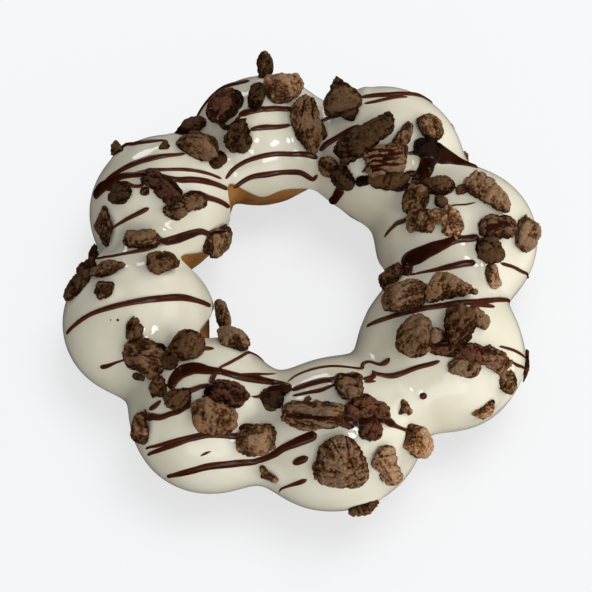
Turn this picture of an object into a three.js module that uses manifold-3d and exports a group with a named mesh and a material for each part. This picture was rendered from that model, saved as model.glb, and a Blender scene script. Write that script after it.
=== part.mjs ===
// A mochi doughnut: eight balls of fried dough joined in a ring, a coat of white icing over the top,
// and on the icing cookie crumbs and a thick drizzle of chocolate.
//
// Millimetres, +Z up. The ring lies flat on z = 0 with the middle of its outline on the Z axis.
// A place on the ring is given by two angles in degrees. Its bearing runs round the hole, from +X
// towards +Y. Its roll runs round the dough: 0 on top, positive outwards, negative into the hole.

import * as THREE from 'three';
import { mergeVertices } from 'three/addons/utils/BufferGeometryUtils.js';
import Module from 'manifold-3d';

// Driving dimensions of the dough
const RING_RADIUS = 32.5;
const FLAT_DEPTH = 1.0; // how far each ball is pressed flat where it rests
const BALL_BLEND = 2.2; // softness of the necks between the balls
const RING_CENTRE = new THREE.Vector3(-0.5, 0.2, 0); // puts the middle of the outline on the axis

// Each ball: bearing, distance from the middle, half width outwards, half width along, half height
const BALLS = [
  [194, 32.8, 14.0, 13.8, 13.8],
  [148, 33.0, 13.5, 14.4, 13.6],
  [103, 34.0, 13.0, 13.6, 13.0],
  [57.5, 33.7, 14.0, 15.0, 14.2],
  [16.5, 33.2, 15.2, 14.4, 14.4],
  [-27.5, 31.3, 15.4, 14.6, 14.6],
  [-77, 32.2, 13.8, 15.6, 14.4],
  [-122.5, 32.8, 13.8, 14.3, 14.0],
];

// Driving dimensions of the icing: how far its faces lie above the dough, and the rolls of its edges.
// Each wave of an edge: its count round the ring, its size in degrees and its phase in radians
const ICING_HEIGHT = 1.0;
const ICING_GAP = 0.4; // free space between the icing and the dough
const LIP_HEIGHT = 0.65; // height of the icing's thin edges
const OUTER_EDGE = { roll: 112, waves: [[3, 5, 0.6], [8, 4, 2.1], [13, 2, 4.0]] };
const INNER_EDGE = { roll: -92, waves: [[3, 4, 2.4], [8, 4, 0.5], [11, 2, 1.2]] };

// Places where the icing stops short of its inner edge and the dough shows: bearing, rise, half width
const BARE_PATCHES = [
  [126, 34, 6],
  [118, 12, 6],
  [173, 42, 9],
  [161, 10, 5],
  [205, 9, 6],
  [217, 44, 9],
];

// Driving dimensions of the toppings
const CRUMB_HEIGHT_SHARE = 0.72; // height of a crumb as a share of its width
const TOPPING_SINK = 0.55; // how deep crumbs and strokes sit in the icing
const CRUMB_LUMP = 0.14; // unevenness of its faces
const CRUMB_FULLNESS = 1.12; // its corners stand out past its stated size, so that its faces lie about on it
const LARGE_CRUMB = 9.0; // crumbs at least this long have more faces
const CRUMB_SEED = 27;
const DRIZZLE_STEP = 2.6;
const DRIZZLE_ARCS = 3; // half the sides of a stroke's section

// Each crumb: bearing, roll, length, width, turn of its long side from the ring's direction outwards,
// and its height where that is not the usual share of its width
const CRUMBS = [
  // on the far ball
  [99, 48, 3.6, 3.2, 20, 6.6],
  [95, 25, 8.6, 6.6, -43],
  [104, 18, 7.4, 3.6, -69],
  [114, 21, 8.6, 6.2, -30],
  [114, -12, 7.2, 5.6, -50],
  [125, 38, 7.0, 4.6, 8],
  [128, 0, 8.6, 6.4, 42],
  [87, 7, 7.8, 5.4, -84],
  [85, -24, 7.6, 5.3, 75],
  // on the far left ball
  [158, 22, 5.1, 4.4, 64],
  [152, -13, 6.7, 4.4, -70],
  [152, -30, 9.6, 4.4, 25],
  [167, 38, 8.5, 5.0, 6],
  [172, -7, 7.8, 5.6, 70],
  [154, -74, 7.8, 5.4, -7],
  // on the left ball
  [182, -23, 7.0, 6.2, 81],
  [186, 46, 7.5, 3.6, 57],
  [181, 40, 5.0, 3.8, 74],
  [184, 18, 6.8, 3.8, 84],
  [215, 14, 9.2, 6.2, -23],
  [221, -17, 6.6, 6.2, 82],
  [220, 1, 5.4, 3.2, -4],
  // on the near left ball
  [233, 17, 5.3, 4.1, -43],
  [228, 53, 7.3, 4.8, 74],
  [245, -2, 9.0, 5.2, -9],
  [245, 16, 8.6, 6.4, -14],
  [258, 22, 8.0, 6.0, -26],
  [231, -53, 7.2, 5.4, 5],
  [260, -16, 6.3, 4.2, 11],
  // on the near ball
  [268, 2, 7.2, 5.6, 13],
  [277, 2, 7.2, 4.6, 15],
  [288, -11, 5.8, 5.4, 15],
  [290, 5, 8.5, 5.0, 12],
  [280, 35, 10.6, 9.4, 19, 5.4],
  [292, 51, 9.4, 4.9, 81],
  [285, 91, 6.2, 3.8, 4],
  [302, 49, 7.0, 5.6, 62],
  // on the near right ball
  [321, 67, 5.3, 3.6, -8],
  [329, 58, 5.4, 4.4, -29],
  [330, 36, 7.6, 4.8, 75],
  [323, 23, 6.0, 3.6, 58],
  [332, 4, 8.4, 7.0, 2],
  [325, 11, 5.8, 3.4, 47],
  [320, -16, 8.5, 7.3, 6],
  [335, -34, 9.0, 7.0, 68],
  [345, -10, 9.2, 5.8, 79],
  // on the right ball
  [354, -59, 6.4, 5.2, 3],
  [356, 24, 5.0, 3.8, -25],
  [29, -6, 6.4, 4.6, -50],
  [29, -26, 7.3, 6.0, 58],
  [17, -28, 5.9, 4.9, -62],
  [12, -8, 6.7, 5.2, 39],
  [18, 21, 9.6, 5.4, -37],
  [8, 24, 8.8, 4.8, -83],
  [2, 18, 6.0, 5.3, -39],
  [8, 48, 7.3, 5.0, 15],
  // on the far right ball
  [77, 16, 9.0, 7.6, 80, 6.6],
  [59, -3, 7.6, 5.2, -69],
  [69, -26, 8.0, 5.4, -40],
  [75, -47, 5.0, 4.1, -21],
  [66, -49, 5.7, 4.8, 23],
  [45, -35, 6.3, 3.5, -43],
  [51, -20, 9.2, 6.4, -49, 3.6],
  [51, 2, 7.0, 3.2, 75],
  [47, 21, 6.4, 5.0, -1],
  [42, 8, 5.7, 5.2, -26],
  // on the far slopes
  [50, 95, 4.4, 3.2, 30],
  [41, 99, 4.0, 3.0, -60],
  [126, 92, 4.4, 3.2, 50],
  [80, 95, 4.0, 3.0, -20],
];

// Each stroke of the drizzle, as it falls on the doughnut from above: width, then points in plan
const STROKES = [
  [1.5, [[-41.5, 1.6], [-36.9, 1.7], [-31.0, 3.0], [-22.5, 7.1], [-15.8, 11.0]]],
  [1.1, [[-45.0, -13.0], [-37.0, -11.3], [-25.6, -8.4], [-18.0, -6.9]]],
  [2.2, [[-24.4, -27.0], [-23.2, -24.3], [-20.4, -22.7], [-12.9, -23.7], [-2.5, -25.2]]],
  [1.5, [[-24.5, -40.5], [-16.6, -40.4], [-7.0, -39.2], [-1.7, -37.9], [3.2, -36.4]]],
  [1.2, [[13.8, -11.7], [22.8, -12.3], [29.4, -10.7], [37.6, -7.9], [42.0, -4.2]]],
  [1.8, [[20.1, 1.3], [27.2, 2.2], [34.5, 3.7]]],
];

// Fineness of the solids
const AROUND_STEPS = 64;
const DOUGH_SECTION_STEPS = 20;
const ICING_SECTION_STEPS = 12; // from edge to edge
const SURFACE_REACH = 30; // longest way from the middle of the dough to a surface
const HALVINGS = 32;

const UP = new THREE.Vector3(0, 0, 1);
const radians = THREE.MathUtils.degToRad;
const wasm = await Module();
wasm.setup();

const balls = BALLS.map(([bearing, distance, outwards, along, half]) => {
  const outward = new THREE.Vector3(1, 0, 0).applyAxisAngle(UP, radians(bearing));
  return {
    centre: outward.clone().multiplyScalar(distance).setZ(half - FLAT_DEPTH),
    outward,
    sideways: new THREE.Vector3().crossVectors(UP, outward),
    outwards,
    along,
    half,
    mean: (outwards + along + half) / 3,
  };
});
const tubeHeight = balls.reduce((sum, ball) => sum + ball.half, 0) / balls.length - FLAT_DEPTH;

// Height of a point above the dough's face, negative inside: a soft union of the balls
function heightOverDough(point) {
  let sum = 0;
  for (const ball of balls) {
    const offset = point.clone().sub(ball.centre);
    const share = Math.hypot(
      offset.dot(ball.outward) / ball.outwards,
      offset.dot(ball.sideways) / ball.along,
      offset.z / ball.half,
    );
    sum += Math.exp(((1 - share) * ball.mean) / BALL_BLEND);
  }
  return -BALL_BLEND * Math.log(sum);
}

// The point on a straight way out of the dough that lies at the given height over its face
function pointAtHeight(start, direction, height) {
  let near = 0;
  let far = SURFACE_REACH;
  for (let halving = 0; halving < HALVINGS; halving += 1) {
    const middle = (near + far) / 2;
    if (heightOverDough(start.clone().addScaledVector(direction, middle)) < height) {
      near = middle;
    } else {
      far = middle;
    }
  }
  return start.clone().addScaledVector(direction, near);
}

// The point at a bearing and roll, both in radians, at the given height over the dough
function ringPoint(bearing, roll, height) {
  const outward = new THREE.Vector3(1, 0, 0).applyAxisAngle(UP, bearing);
  const start = outward.clone().multiplyScalar(RING_RADIUS).setZ(tubeHeight);
  const direction = outward.multiplyScalar(Math.sin(roll)).addScaledVector(UP, Math.cos(roll));
  return pointAtHeight(start, direction, height);
}

// The way that the dough's face looks at a point
function facing(point) {
  const step = 0.05;
  const axes = [new THREE.Vector3(1, 0, 0), new THREE.Vector3(0, 1, 0), UP];
  const slope = axes.map((axis) => {
    const ahead = heightOverDough(point.clone().addScaledVector(axis, step));
    const behind = heightOverDough(point.clone().addScaledVector(axis, -step));
    return ahead - behind;
  });
  return new THREE.Vector3(...slope).normalize();
}

// A torus whose rows and columns are put in new places: place(bearing in radians, row) gives each point
function mouldedTorus(sectionSteps, place) {
  const geometry = new THREE.TorusGeometry(RING_RADIUS, 1, sectionSteps, AROUND_STEPS);
  const position = geometry.attributes.position;
  for (let index = 0; index < position.count; index += 1) {
    const column = (index % (AROUND_STEPS + 1)) % AROUND_STEPS;
    const row = Math.floor(index / (AROUND_STEPS + 1)) % sectionSteps;
    const point = place((2 * Math.PI * column) / AROUND_STEPS, row);
    position.setXYZ(index, point.x, point.y, point.z);
  }
  return geometry;
}

// The dough, or with a height the dough grown by it, pressed flat on the surface it rests on
function doughGeometry(height) {
  return mouldedTorus(DOUGH_SECTION_STEPS, (bearing, row) => {
    const roll = Math.PI / 2 - (2 * Math.PI * row) / DOUGH_SECTION_STEPS;
    const point = ringPoint(bearing, roll, height);
    return point.setZ(Math.max(point.z, -height));
  });
}

// Roll of an edge of the icing at a bearing, both in radians
function edgeRoll(edge, bearing) {
  const wave = edge.waves.reduce(
    (sum, [count, size, phase]) => sum + size * Math.sin(count * bearing + phase),
    0,
  );
  return radians(edge.roll + wave);
}

// The inner edge also rises where a bare patch shows the dough
function innerEdgeRoll(bearing) {
  const rise = BARE_PATCHES.reduce((sum, [place, size, spread]) => {
    const turn = THREE.MathUtils.radToDeg(bearing) - place;
    const away = THREE.MathUtils.euclideanModulo(turn + 180, 360) - 180;
    return sum + size * Math.exp(-((away / spread) ** 2));
  }, 0);
  return edgeRoll(INNER_EDGE, bearing) + radians(rise);
}

// The icing: its upper face from the outer edge over the top to the inner edge, then its under face back
function icingGeometry() {
  const last = ICING_SECTION_STEPS;
  return mouldedTorus(2 * last, (bearing, row) => {
    const share = (row <= last ? row : 2 * last - row) / last;
    const roll = THREE.MathUtils.lerp(edgeRoll(OUTER_EDGE, bearing), innerEdgeRoll(bearing), share);
    const upper = row === 0 || row === last ? LIP_HEIGHT : ICING_HEIGHT;
    return ringPoint(bearing, roll, row <= last ? upper : ICING_GAP);
  });
}

// Draws of numbers from 0 to 1 that repeat for the same seed
function seededDraw(seed) {
  const factor = 1664525;
  const shift = 1013904223;
  let state = seed;
  return () => {
    state = (Math.imul(state, factor) + shift) >>> 0;
    return state / 2 ** 32;
  };
}

// A lumpy crumb lying on the icing
function crumbGeometry([bearing, roll, length, width, turn, height = CRUMB_HEIGHT_SHARE * width], draw) {
  const large = length >= LARGE_CRUMB;
  const crumb = closedMesh(large ? new THREE.IcosahedronGeometry(1, 1) : new THREE.DodecahedronGeometry(1));
  const position = crumb.attributes.position;
  for (let index = 0; index < position.count; index += 1) {
    const size = CRUMB_FULLNESS + CRUMB_LUMP * (2 * draw() - 1);
    const corner = new THREE.Vector3().fromBufferAttribute(position, index).multiplyScalar(size);
    position.setXYZ(index, corner.x, corner.y, corner.z);
  }
  const lift = ICING_HEIGHT + height / 2 - TOPPING_SINK;
  const middle = ringPoint(radians(bearing), radians(roll), lift);
  const normal = facing(middle);
  const ringway = new THREE.Vector3(-Math.sin(radians(bearing)), Math.cos(radians(bearing)), 0);
  const across = new THREE.Vector3().crossVectors(ringway, normal).normalize();
  const along = new THREE.Vector3().crossVectors(normal, across);
  const frame = new THREE.Matrix4().makeBasis(along, across.clone().negate(), normal);
  const shape = new THREE.Matrix4()
    .makeRotationZ(-radians(turn))
    .scale(new THREE.Vector3(length / 2, width / 2, height / 2));
  return crumb.applyMatrix4(frame.multiply(shape).setPosition(middle));
}

// A stroke of chocolate that has fallen along a path in plan and lies over the icing
function strokeGeometry([width, path]) {
  const plan = new THREE.CatmullRomCurve3(path.map(([x, y]) => new THREE.Vector3(x, y, tubeHeight)));
  const steps = Math.ceil(plan.getLength() / DRIZZLE_STEP);
  const laid = plan.getSpacedPoints(steps).map((place) => {
    const rest = pointAtHeight(place, UP, ICING_HEIGHT);
    return rest.addScaledVector(facing(rest), width / 2 - TOPPING_SINK);
  });
  const section = new THREE.Shape();
  section.absarc(0, 0, width / 2, 0, 2 * Math.PI);
  return new THREE.ExtrudeGeometry(section, {
    curveSegments: DRIZZLE_ARCS,
    steps,
    extrudePath: new THREE.CatmullRomCurve3(laid),
    bevelEnabled: false,
  });
}

// The geometry with its shared corners merged
function closedMesh(geometry) {
  const bare = geometry.clone();
  bare.deleteAttribute('normal');
  bare.deleteAttribute('uv');
  return mergeVertices(bare);
}

// A closed geometry as a solid that can be joined and cut
function toSolid(geometry) {
  const mesh = closedMesh(geometry);
  return new wasm.Manifold(new wasm.Mesh({
    numProp: 3,
    vertProperties: Float32Array.from(mesh.attributes.position.array),
    triVerts: Uint32Array.from(mesh.index.array),
  }));
}

// The largest closed face of a solid as a geometry: sealed hollows are filled and loose scraps dropped
function toGeometry(solid) {
  const { vertProperties, triVerts } = solid.getMesh();
  const parent = Array.from({ length: vertProperties.length / 3 }, (unused, corner) => corner);
  const root = (corner) => {
    let top = corner;
    while (parent[top] !== top) {
      parent[top] = parent[parent[top]];
      top = parent[top];
    }
    return top;
  };
  for (let first = 0; first < triVerts.length; first += 3) {
    parent[root(triVerts[first + 1])] = root(triVerts[first]);
    parent[root(triVerts[first + 2])] = root(triVerts[first]);
  }
  const faces = new Map();
  for (let first = 0; first < triVerts.length; first += 3) {
    const body = root(triVerts[first]);
    faces.set(body, [...(faces.get(body) ?? []), ...triVerts.slice(first, first + 3)]);
  }
  const largest = [...faces.values()].reduce((best, list) => (list.length > best.length ? list : best));
  const geometry = new THREE.BufferGeometry();
  geometry.setAttribute('position', new THREE.BufferAttribute(Float32Array.from(vertProperties), 3));
  geometry.setIndex(Array.from(largest));
  return geometry;
}

// The icing with its crumbs and strokes, all clear of the dough
function coatGeometry() {
  const draw = seededDraw(CRUMB_SEED);
  const crumbs = CRUMBS.map((crumb) => crumbGeometry(crumb, draw));
  const toppings = [...crumbs, ...STROKES.map(strokeGeometry)]
    .map(toSolid)
    .reduce((heap, topping) => heap.add(topping))
    .subtract(toSolid(doughGeometry(ICING_GAP)));
  return toGeometry(toSolid(icingGeometry()).add(toppings));
}

const dough = new THREE.Mesh(
  closedMesh(doughGeometry(0)),
  new THREE.MeshStandardMaterial({ color: '#8f5a22', roughness: 0.62, metalness: 0 }),
);
dough.name = 'dough_ring';

const coat = new THREE.Mesh(
  coatGeometry(),
  new THREE.MeshStandardMaterial({ color: '#e2dccb', roughness: 0.28, metalness: 0 }),
);
coat.name = 'icing_coat';

const doughnut = new THREE.Group();
doughnut.position.copy(RING_CENTRE);
doughnut.add(dough, coat);

export default doughnut;
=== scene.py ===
"""A mochi doughnut: eight fried balls of dough in a ring, iced, drizzled and strewn with crumbs.

Sizes are in millimetres until a mesh is made, and angles are in degrees. A place on the ring has a
bearing round the hole, from +X towards +Y, and a roll round the dough: 0 on top, positive outwards
and negative into the hole.
"""

import logging
import math
from dataclasses import dataclass, field
from enum import Enum

import bmesh
import bpy
import numpy as np
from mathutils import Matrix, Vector
from mathutils.bvhtree import BVHTree


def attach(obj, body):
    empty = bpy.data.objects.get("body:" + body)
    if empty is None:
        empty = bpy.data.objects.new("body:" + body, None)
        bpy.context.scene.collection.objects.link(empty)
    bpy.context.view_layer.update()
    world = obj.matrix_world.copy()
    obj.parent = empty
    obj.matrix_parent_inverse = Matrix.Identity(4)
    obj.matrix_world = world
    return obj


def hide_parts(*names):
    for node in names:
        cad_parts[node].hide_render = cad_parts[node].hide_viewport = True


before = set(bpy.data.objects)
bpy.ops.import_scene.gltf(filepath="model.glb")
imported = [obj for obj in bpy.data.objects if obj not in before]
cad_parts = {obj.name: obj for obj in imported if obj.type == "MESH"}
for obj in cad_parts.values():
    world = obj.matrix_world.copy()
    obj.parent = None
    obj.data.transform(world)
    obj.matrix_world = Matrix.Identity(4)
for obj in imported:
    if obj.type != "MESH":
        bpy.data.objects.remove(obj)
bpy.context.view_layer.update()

Array = np.ndarray
Pair = tuple[float, float]
Triple = tuple[float, float, float]
Colour = Triple
Socket = bpy.types.NodeSocket
Thing = bpy.types.Object
Material = bpy.types.Material
MM = 0.001
UP = np.array([0.0, 0.0, 1.0])
BLACK = (0.0, 0.0, 0.0)
WHITE = (1.0, 1.0, 1.0)
BODY = "root"
log = logging.getLogger("doughnut")


def unit(ways: Array) -> Array:
    """Gives directions a length of 1."""
    return ways / np.linalg.norm(ways, axis=-1, keepdims=True)


def run(line: Array) -> Array:
    """Gives how far along a line each of its points lies."""
    return np.concatenate([[0.0], np.cumsum(np.linalg.norm(np.diff(line, axis=0), axis=1))])


def fill_box(points: Array) -> Array:
    """Moves and stretches points so that they fill a box from -1 to 1."""
    low, high = points.min(0), points.max(0)
    return (points - 0.5 * (low + high)) / (0.5 * (high - low))


def stand(name: str, data: bpy.types.ID) -> Thing:
    """Sets a mesh, a lamp or a camera up in the scene.

    Args:
        name: of the object.
        data: what it holds.

    Returns:
        The object.
    """
    thing = bpy.data.objects.new(name, data)
    bpy.context.scene.collection.objects.link(thing)
    return thing


def torus_faces(columns: int, rows: int) -> list[list[int]]:
    """Joins a closed grid of points, column by column, into four-sided faces that look outwards.

    Args:
        columns: steps along the tube.
        rows: steps round its section.

    Returns:
        Corners of each face.
    """
    column, row = np.meshgrid(np.arange(columns), np.arange(rows), indexing="ij")
    right, above = (column + 1) % columns, (row + 1) % rows
    corners = [column * rows + row, right * rows + row, right * rows + above, column * rows + above]
    return np.stack(corners, -1).reshape(-1, 4).tolist()


class Noise:
    """Smooth seeded noise over space, the same on each run."""

    CELLS = 32
    SHIFT = 17.3
    TOTAL = 1.5

    def __init__(self, seed: int) -> None:
        """Draws the lattice of values that the noise runs through."""
        self.lattice = np.random.default_rng(seed).uniform(-1.0, 1.0, (self.CELLS,) * 3)

    def at(self, points: Array, wavelength: float) -> Array:
        """Gives the noise at points.

        Args:
            points: places in millimetres, with x, y and z last.
            wavelength: distance between one value and the next, in millimetres.

        Returns:
            Values from -1 to 1, one for each point.
        """
        places = points / wavelength
        corner = np.floor(places).astype(int)
        share = places - corner
        share = share * share * (3.0 - 2.0 * share)
        total = np.zeros(points.shape[:-1])
        for step in np.ndindex(2, 2, 2):
            index = (corner + step) % self.CELLS
            weight = np.where(np.array(step) == 1, share, 1.0 - share).prod(-1)
            total += weight * self.lattice[index[..., 0], index[..., 1], index[..., 2]]
        return total

    def cells(self, points: Array, wavelength: float) -> Array:
        """Gives the distance to the nearest of many scattered seeds.

        Args:
            points: places in millimetres, one to a row.
            wavelength: usual distance between seeds, in millimetres.

        Returns:
            Distances as a share of the wavelength, one for each point.
        """
        places = points / wavelength
        corner = np.floor(places).astype(int)
        nearest = np.full(len(points), np.inf)
        for step in np.ndindex(3, 3, 3):
            cell = corner + np.array(step) - 1
            index = cell % self.CELLS
            seeds = [self.lattice[tuple(np.roll(index, turn, 1).T)] for turn in range(3)]
            away = cell + 0.5 + 0.5 * np.stack(seeds, 1) - places
            nearest = np.minimum(nearest, np.linalg.norm(away, axis=1))
        return nearest

    def fractal(self, points: Array, wavelength: float, octaves: int) -> Array:
        """Adds up ever finer and fainter noise.

        Args:
            points: places in millimetres.
            wavelength: that of the coarsest noise.
            octaves: how many noises are added.

        Returns:
            Values of about -1 to 1, one for each point.
        """
        layers = [
            self.at(points + self.SHIFT * step, wavelength / 2**step) / 2**step for step in range(octaves)
        ]
        return sum(layers) / self.TOTAL


@dataclass(frozen=True)
class Ball:
    """One ball of dough: where it lies and its half sizes.

    Attributes:
        bearing: direction from the middle of the hole.
        distance: from the middle of the hole.
        outwards: half width across the ring.
        along: half width along the ring.
        half: half height.
    """

    bearing: float
    distance: float
    outwards: float
    along: float
    half: float

    @property
    def mean(self) -> float:
        """Mean half size."""
        return (self.outwards + self.along + self.half) / 3.0


@dataclass(frozen=True)
class Ring:
    """The soft union of the balls, and the points on and over its face.

    Attributes:
        radius: of the circle that runs through the middle of the dough.
        flat_depth: how far each ball is pressed flat where it rests.
        blend: softness of the necks between the balls.
        centre: where the middle of that circle lies in the model's frame.
        reach: how far a way out of the dough is followed.
        halvings: how often that way is halved to find the face.
        probe: step over which the slope of the face is taken.
        balls: the balls, in order round the ring.
    """

    radius: float = 32.5
    flat_depth: float = 1.0
    blend: float = 2.2
    centre: Pair = (-0.5, 0.2)
    reach: float = 30.0
    halvings: int = 24
    probe: float = 0.05
    balls: tuple[Ball, ...] = (
        Ball(194.0, 32.8, 14.0, 13.8, 13.8),
        Ball(148.0, 33.0, 13.5, 14.4, 13.6),
        Ball(103.0, 34.0, 13.0, 13.6, 13.0),
        Ball(57.5, 33.7, 14.0, 15.0, 14.2),
        Ball(16.5, 33.2, 15.2, 14.4, 14.4),
        Ball(-27.5, 31.3, 15.4, 14.6, 14.6),
        Ball(-77.0, 32.2, 13.8, 15.6, 14.4),
        Ball(-122.5, 32.8, 13.8, 14.3, 14.0),
    )

    @property
    def tube_height(self) -> float:
        """Height of the circle through the middle of the dough."""
        return sum(ball.half for ball in self.balls) / len(self.balls) - self.flat_depth

    def height_over(self, points: Array) -> Array:
        """Measures how far points lie over the dough's face.

        Args:
            points: places in millimetres.

        Returns:
            Heights in millimetres, negative inside the dough.
        """
        total = np.zeros(points.shape[:-1])
        x, y, z = np.moveaxis(points, -1, 0)
        for ball in self.balls:
            angle = math.radians(ball.bearing)
            across = x * math.cos(angle) + y * math.sin(angle) - ball.distance
            along = y * math.cos(angle) - x * math.sin(angle)
            up = z - (ball.half - self.flat_depth)
            shares = (across / ball.outwards, along / ball.along, up / ball.half)
            share = np.sqrt(sum(part**2 for part in shares))
            total += np.exp((1.0 - share) * ball.mean / self.blend)
        return -self.blend * np.log(total)

    def climb(self, starts: Array, ways: Array, heights: Array | float) -> Array:
        """Finds where straight ways out of the dough reach given heights over its face.

        Args:
            starts: places inside the dough.
            ways: unit directions out of it.
            heights: height over the face, for all ways or for each.

        Returns:
            The places reached.
        """
        near = np.zeros(starts.shape[:-1])
        far = np.full(starts.shape[:-1], self.reach)
        for _ in range(self.halvings):
            middle = 0.5 * (near + far)
            inside = self.height_over(starts + middle[..., None] * ways) < heights
            near = np.where(inside, middle, near)
            far = np.where(inside, far, middle)
        return starts + near[..., None] * ways

    def point(self, bearing: Array, roll: Array, height: Array | float) -> Array:
        """Gives the places at bearings and rolls, at heights over the dough.

        Args:
            bearing: degrees round the hole.
            roll: degrees round the dough.
            height: over the dough's face.

        Returns:
            Places in millimetres.
        """
        turn, tilt = np.radians(bearing), np.radians(roll)
        outward = np.stack([np.cos(turn), np.sin(turn), np.zeros_like(turn)], -1)
        starts = self.radius * outward + self.tube_height * UP
        ways = np.sin(tilt)[..., None] * outward + np.cos(tilt)[..., None] * UP
        return self.climb(starts, ways, height)

    def drop(self, plan: Array, height: float) -> Array:
        """Lets points, given by x and y, fall from above until they lie at a height over the dough."""
        starts = np.concatenate([plan, np.full(plan.shape[:-1] + (1,), self.tube_height)], -1)
        return self.climb(starts, np.broadcast_to(UP, starts.shape), height)

    def facing(self, points: Array) -> Array:
        """Gives the unit directions in which the dough's face looks at points."""
        slopes = [
            self.height_over(points + step) - self.height_over(points - step)
            for step in self.probe * np.eye(3)
        ]
        return unit(np.stack(slopes, -1))

    def to_frame(self, points: Array) -> Array:
        """Moves points from the ring's middle to the model's frame, in metres."""
        return (points + np.array([*self.centre, 0.0])) * MM


class Tree:
    """A node tree, with short ways to add and join nodes."""

    MIX_INPUTS = (0, 6, 7)
    MIX_OUTPUT = 2

    def __init__(self, owner: Material | bpy.types.World, end: str = "Principled BSDF") -> None:
        """Starts the tree of a finish or of the room's light.

        Args:
            owner: what the tree belongs to.
            end: name of the shader that the tree feeds.
        """
        owner.use_nodes = True
        self.owner = owner
        self.nodes, self.links = owner.node_tree.nodes, owner.node_tree.links
        self.shader = self.nodes[end]

    def feed(self, socket: Socket, value: object) -> None:
        """Gives a socket a constant, or joins another node's output to it.

        Args:
            socket: what is fed.
            value: the constant or the output.
        """
        if isinstance(value, Socket):
            self.links.new(value, socket)
        else:
            socket.default_value = value

    def set(self, **sockets: object) -> None:
        """Feeds the shader's own sockets, by name."""
        for name, value in sockets.items():
            self.feed(self.shader.inputs[name.replace("_", " ")], value)

    def add(self, kind: str, **settings: object) -> bpy.types.Node:
        """Adds a node.

        Args:
            kind: Blender's name for the node.
            settings: its properties and sockets by name, the latter with a constant or an output.

        Returns:
            The node.
        """
        node = self.nodes.new(kind)
        for name, value in settings.items():
            if hasattr(node, name) and not isinstance(value, Socket):
                setattr(node, name, value)
            else:
                self.feed(node.inputs[name.replace("_", " ").title()], value)
        return node

    def speckle(self, wavelength: float, detail: float = 4.0, rough: float = 0.6) -> Socket:
        """Adds noise that is fixed to the object.

        Args:
            wavelength: in millimetres.
            detail: how many finer noises are added.
            rough: how strong those are.

        Returns:
            The noise's value, from 0 to 1.
        """
        place = self.add("ShaderNodeTexCoord").outputs["Object"]
        scale = 1.0 / (wavelength * MM)
        noise = self.add("ShaderNodeTexNoise", vector=place, scale=scale, detail=detail, roughness=rough)
        return noise.outputs["Fac"]

    def attribute(self, name: str) -> Socket:
        """Reads a value that the mesh carries at each point."""
        return self.add("ShaderNodeAttribute", attribute_name=name).outputs["Fac"]

    def ramp(self, value: Socket, places: tuple[float, ...], colours: tuple[Colour, ...]) -> Socket:
        """Turns a value into a colour.

        Args:
            value: what is looked up.
            places: values from 0 to 1 that have a colour.
            colours: those colours.

        Returns:
            The colour.
        """
        node = self.add("ShaderNodeValToRGB", fac=value)
        elements = node.color_ramp.elements
        while len(elements) < len(places):
            elements.new(0.5)
        for element, place, colour in zip(elements, places, colours):
            element.position = place
            element.color = (*colour, 1.0)
        return node.outputs["Color"]

    def blend(self, share: float, first: Socket, second: Socket, mode: str = "MIX") -> Socket:
        """Mixes two colours.

        Args:
            share: of the second colour.
            first: colour below.
            second: colour above.
            mode: how they mix.

        Returns:
            The mixed colour.
        """
        node = self.add("ShaderNodeMix", data_type="RGBA", blend_type=mode)
        for socket, value in zip(self.MIX_INPUTS, (share, first, second)):
            self.feed(node.inputs[socket], value)
        return node.outputs[self.MIX_OUTPUT]

    def relief(self, value: Socket, depth: float, strength: float) -> None:
        """Roughens the shading by a height, where depth is what 1 stands for in millimetres."""
        bump = self.add("ShaderNodeBump", height=value, strength=strength, distance=depth * MM)
        self.set(Normal=bump.outputs["Normal"])

    def span(self, value: Socket, low: float, high: float) -> Socket:
        """Stretches a value from 0 to 1 to run from low to high."""
        return self.add("ShaderNodeMapRange", value=value, to_min=low, to_max=high).outputs["Result"]


@dataclass(frozen=True)
class DoughFinish:
    """Golden brown fried crust, darker in patches, with fine pores."""

    dark: Colour = (0.170, 0.062, 0.012)
    middle: Colour = (0.330, 0.135, 0.022)
    light: Colour = (0.460, 0.215, 0.042)

    def material(self) -> Material:
        """Makes the material.

        Returns:
            The material.
        """
        tree = Tree(bpy.data.materials.new("fried_dough"))
        patches = tree.speckle(7.0, detail=5.0, rough=0.62)
        tree.set(Base_Color=tree.ramp(patches, (0.30, 0.52, 0.72), (self.dark, self.middle, self.light)))
        tree.set(Roughness=tree.span(tree.speckle(2.0), low=0.42, high=0.68))
        tree.relief(tree.speckle(0.7, detail=6.0, rough=0.7), depth=0.16, strength=0.8)
        tree.set(IOR=1.45)
        return tree.owner


@dataclass(frozen=True)
class IcingFinish:
    """Set icing: warm white, glossy and slightly waxy."""

    thick: Colour = (0.635, 0.602, 0.492)
    thin: Colour = (0.590, 0.554, 0.437)

    def material(self) -> Material:
        """Makes the material.

        Returns:
            The material.
        """
        tree = Tree(bpy.data.materials.new("white_icing"))
        patches = tree.speckle(9.0, detail=3.0, rough=0.5)
        tree.set(Base_Color=tree.ramp(patches, (0.35, 0.65), (self.thin, self.thick)))
        tree.set(Roughness=tree.span(tree.speckle(5.0, detail=3.0), low=0.05, high=0.13))
        tree.relief(tree.speckle(2.6, detail=2.0, rough=0.4), depth=0.06, strength=0.5)
        tree.set(IOR=1.55)
        return tree.owner


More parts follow.
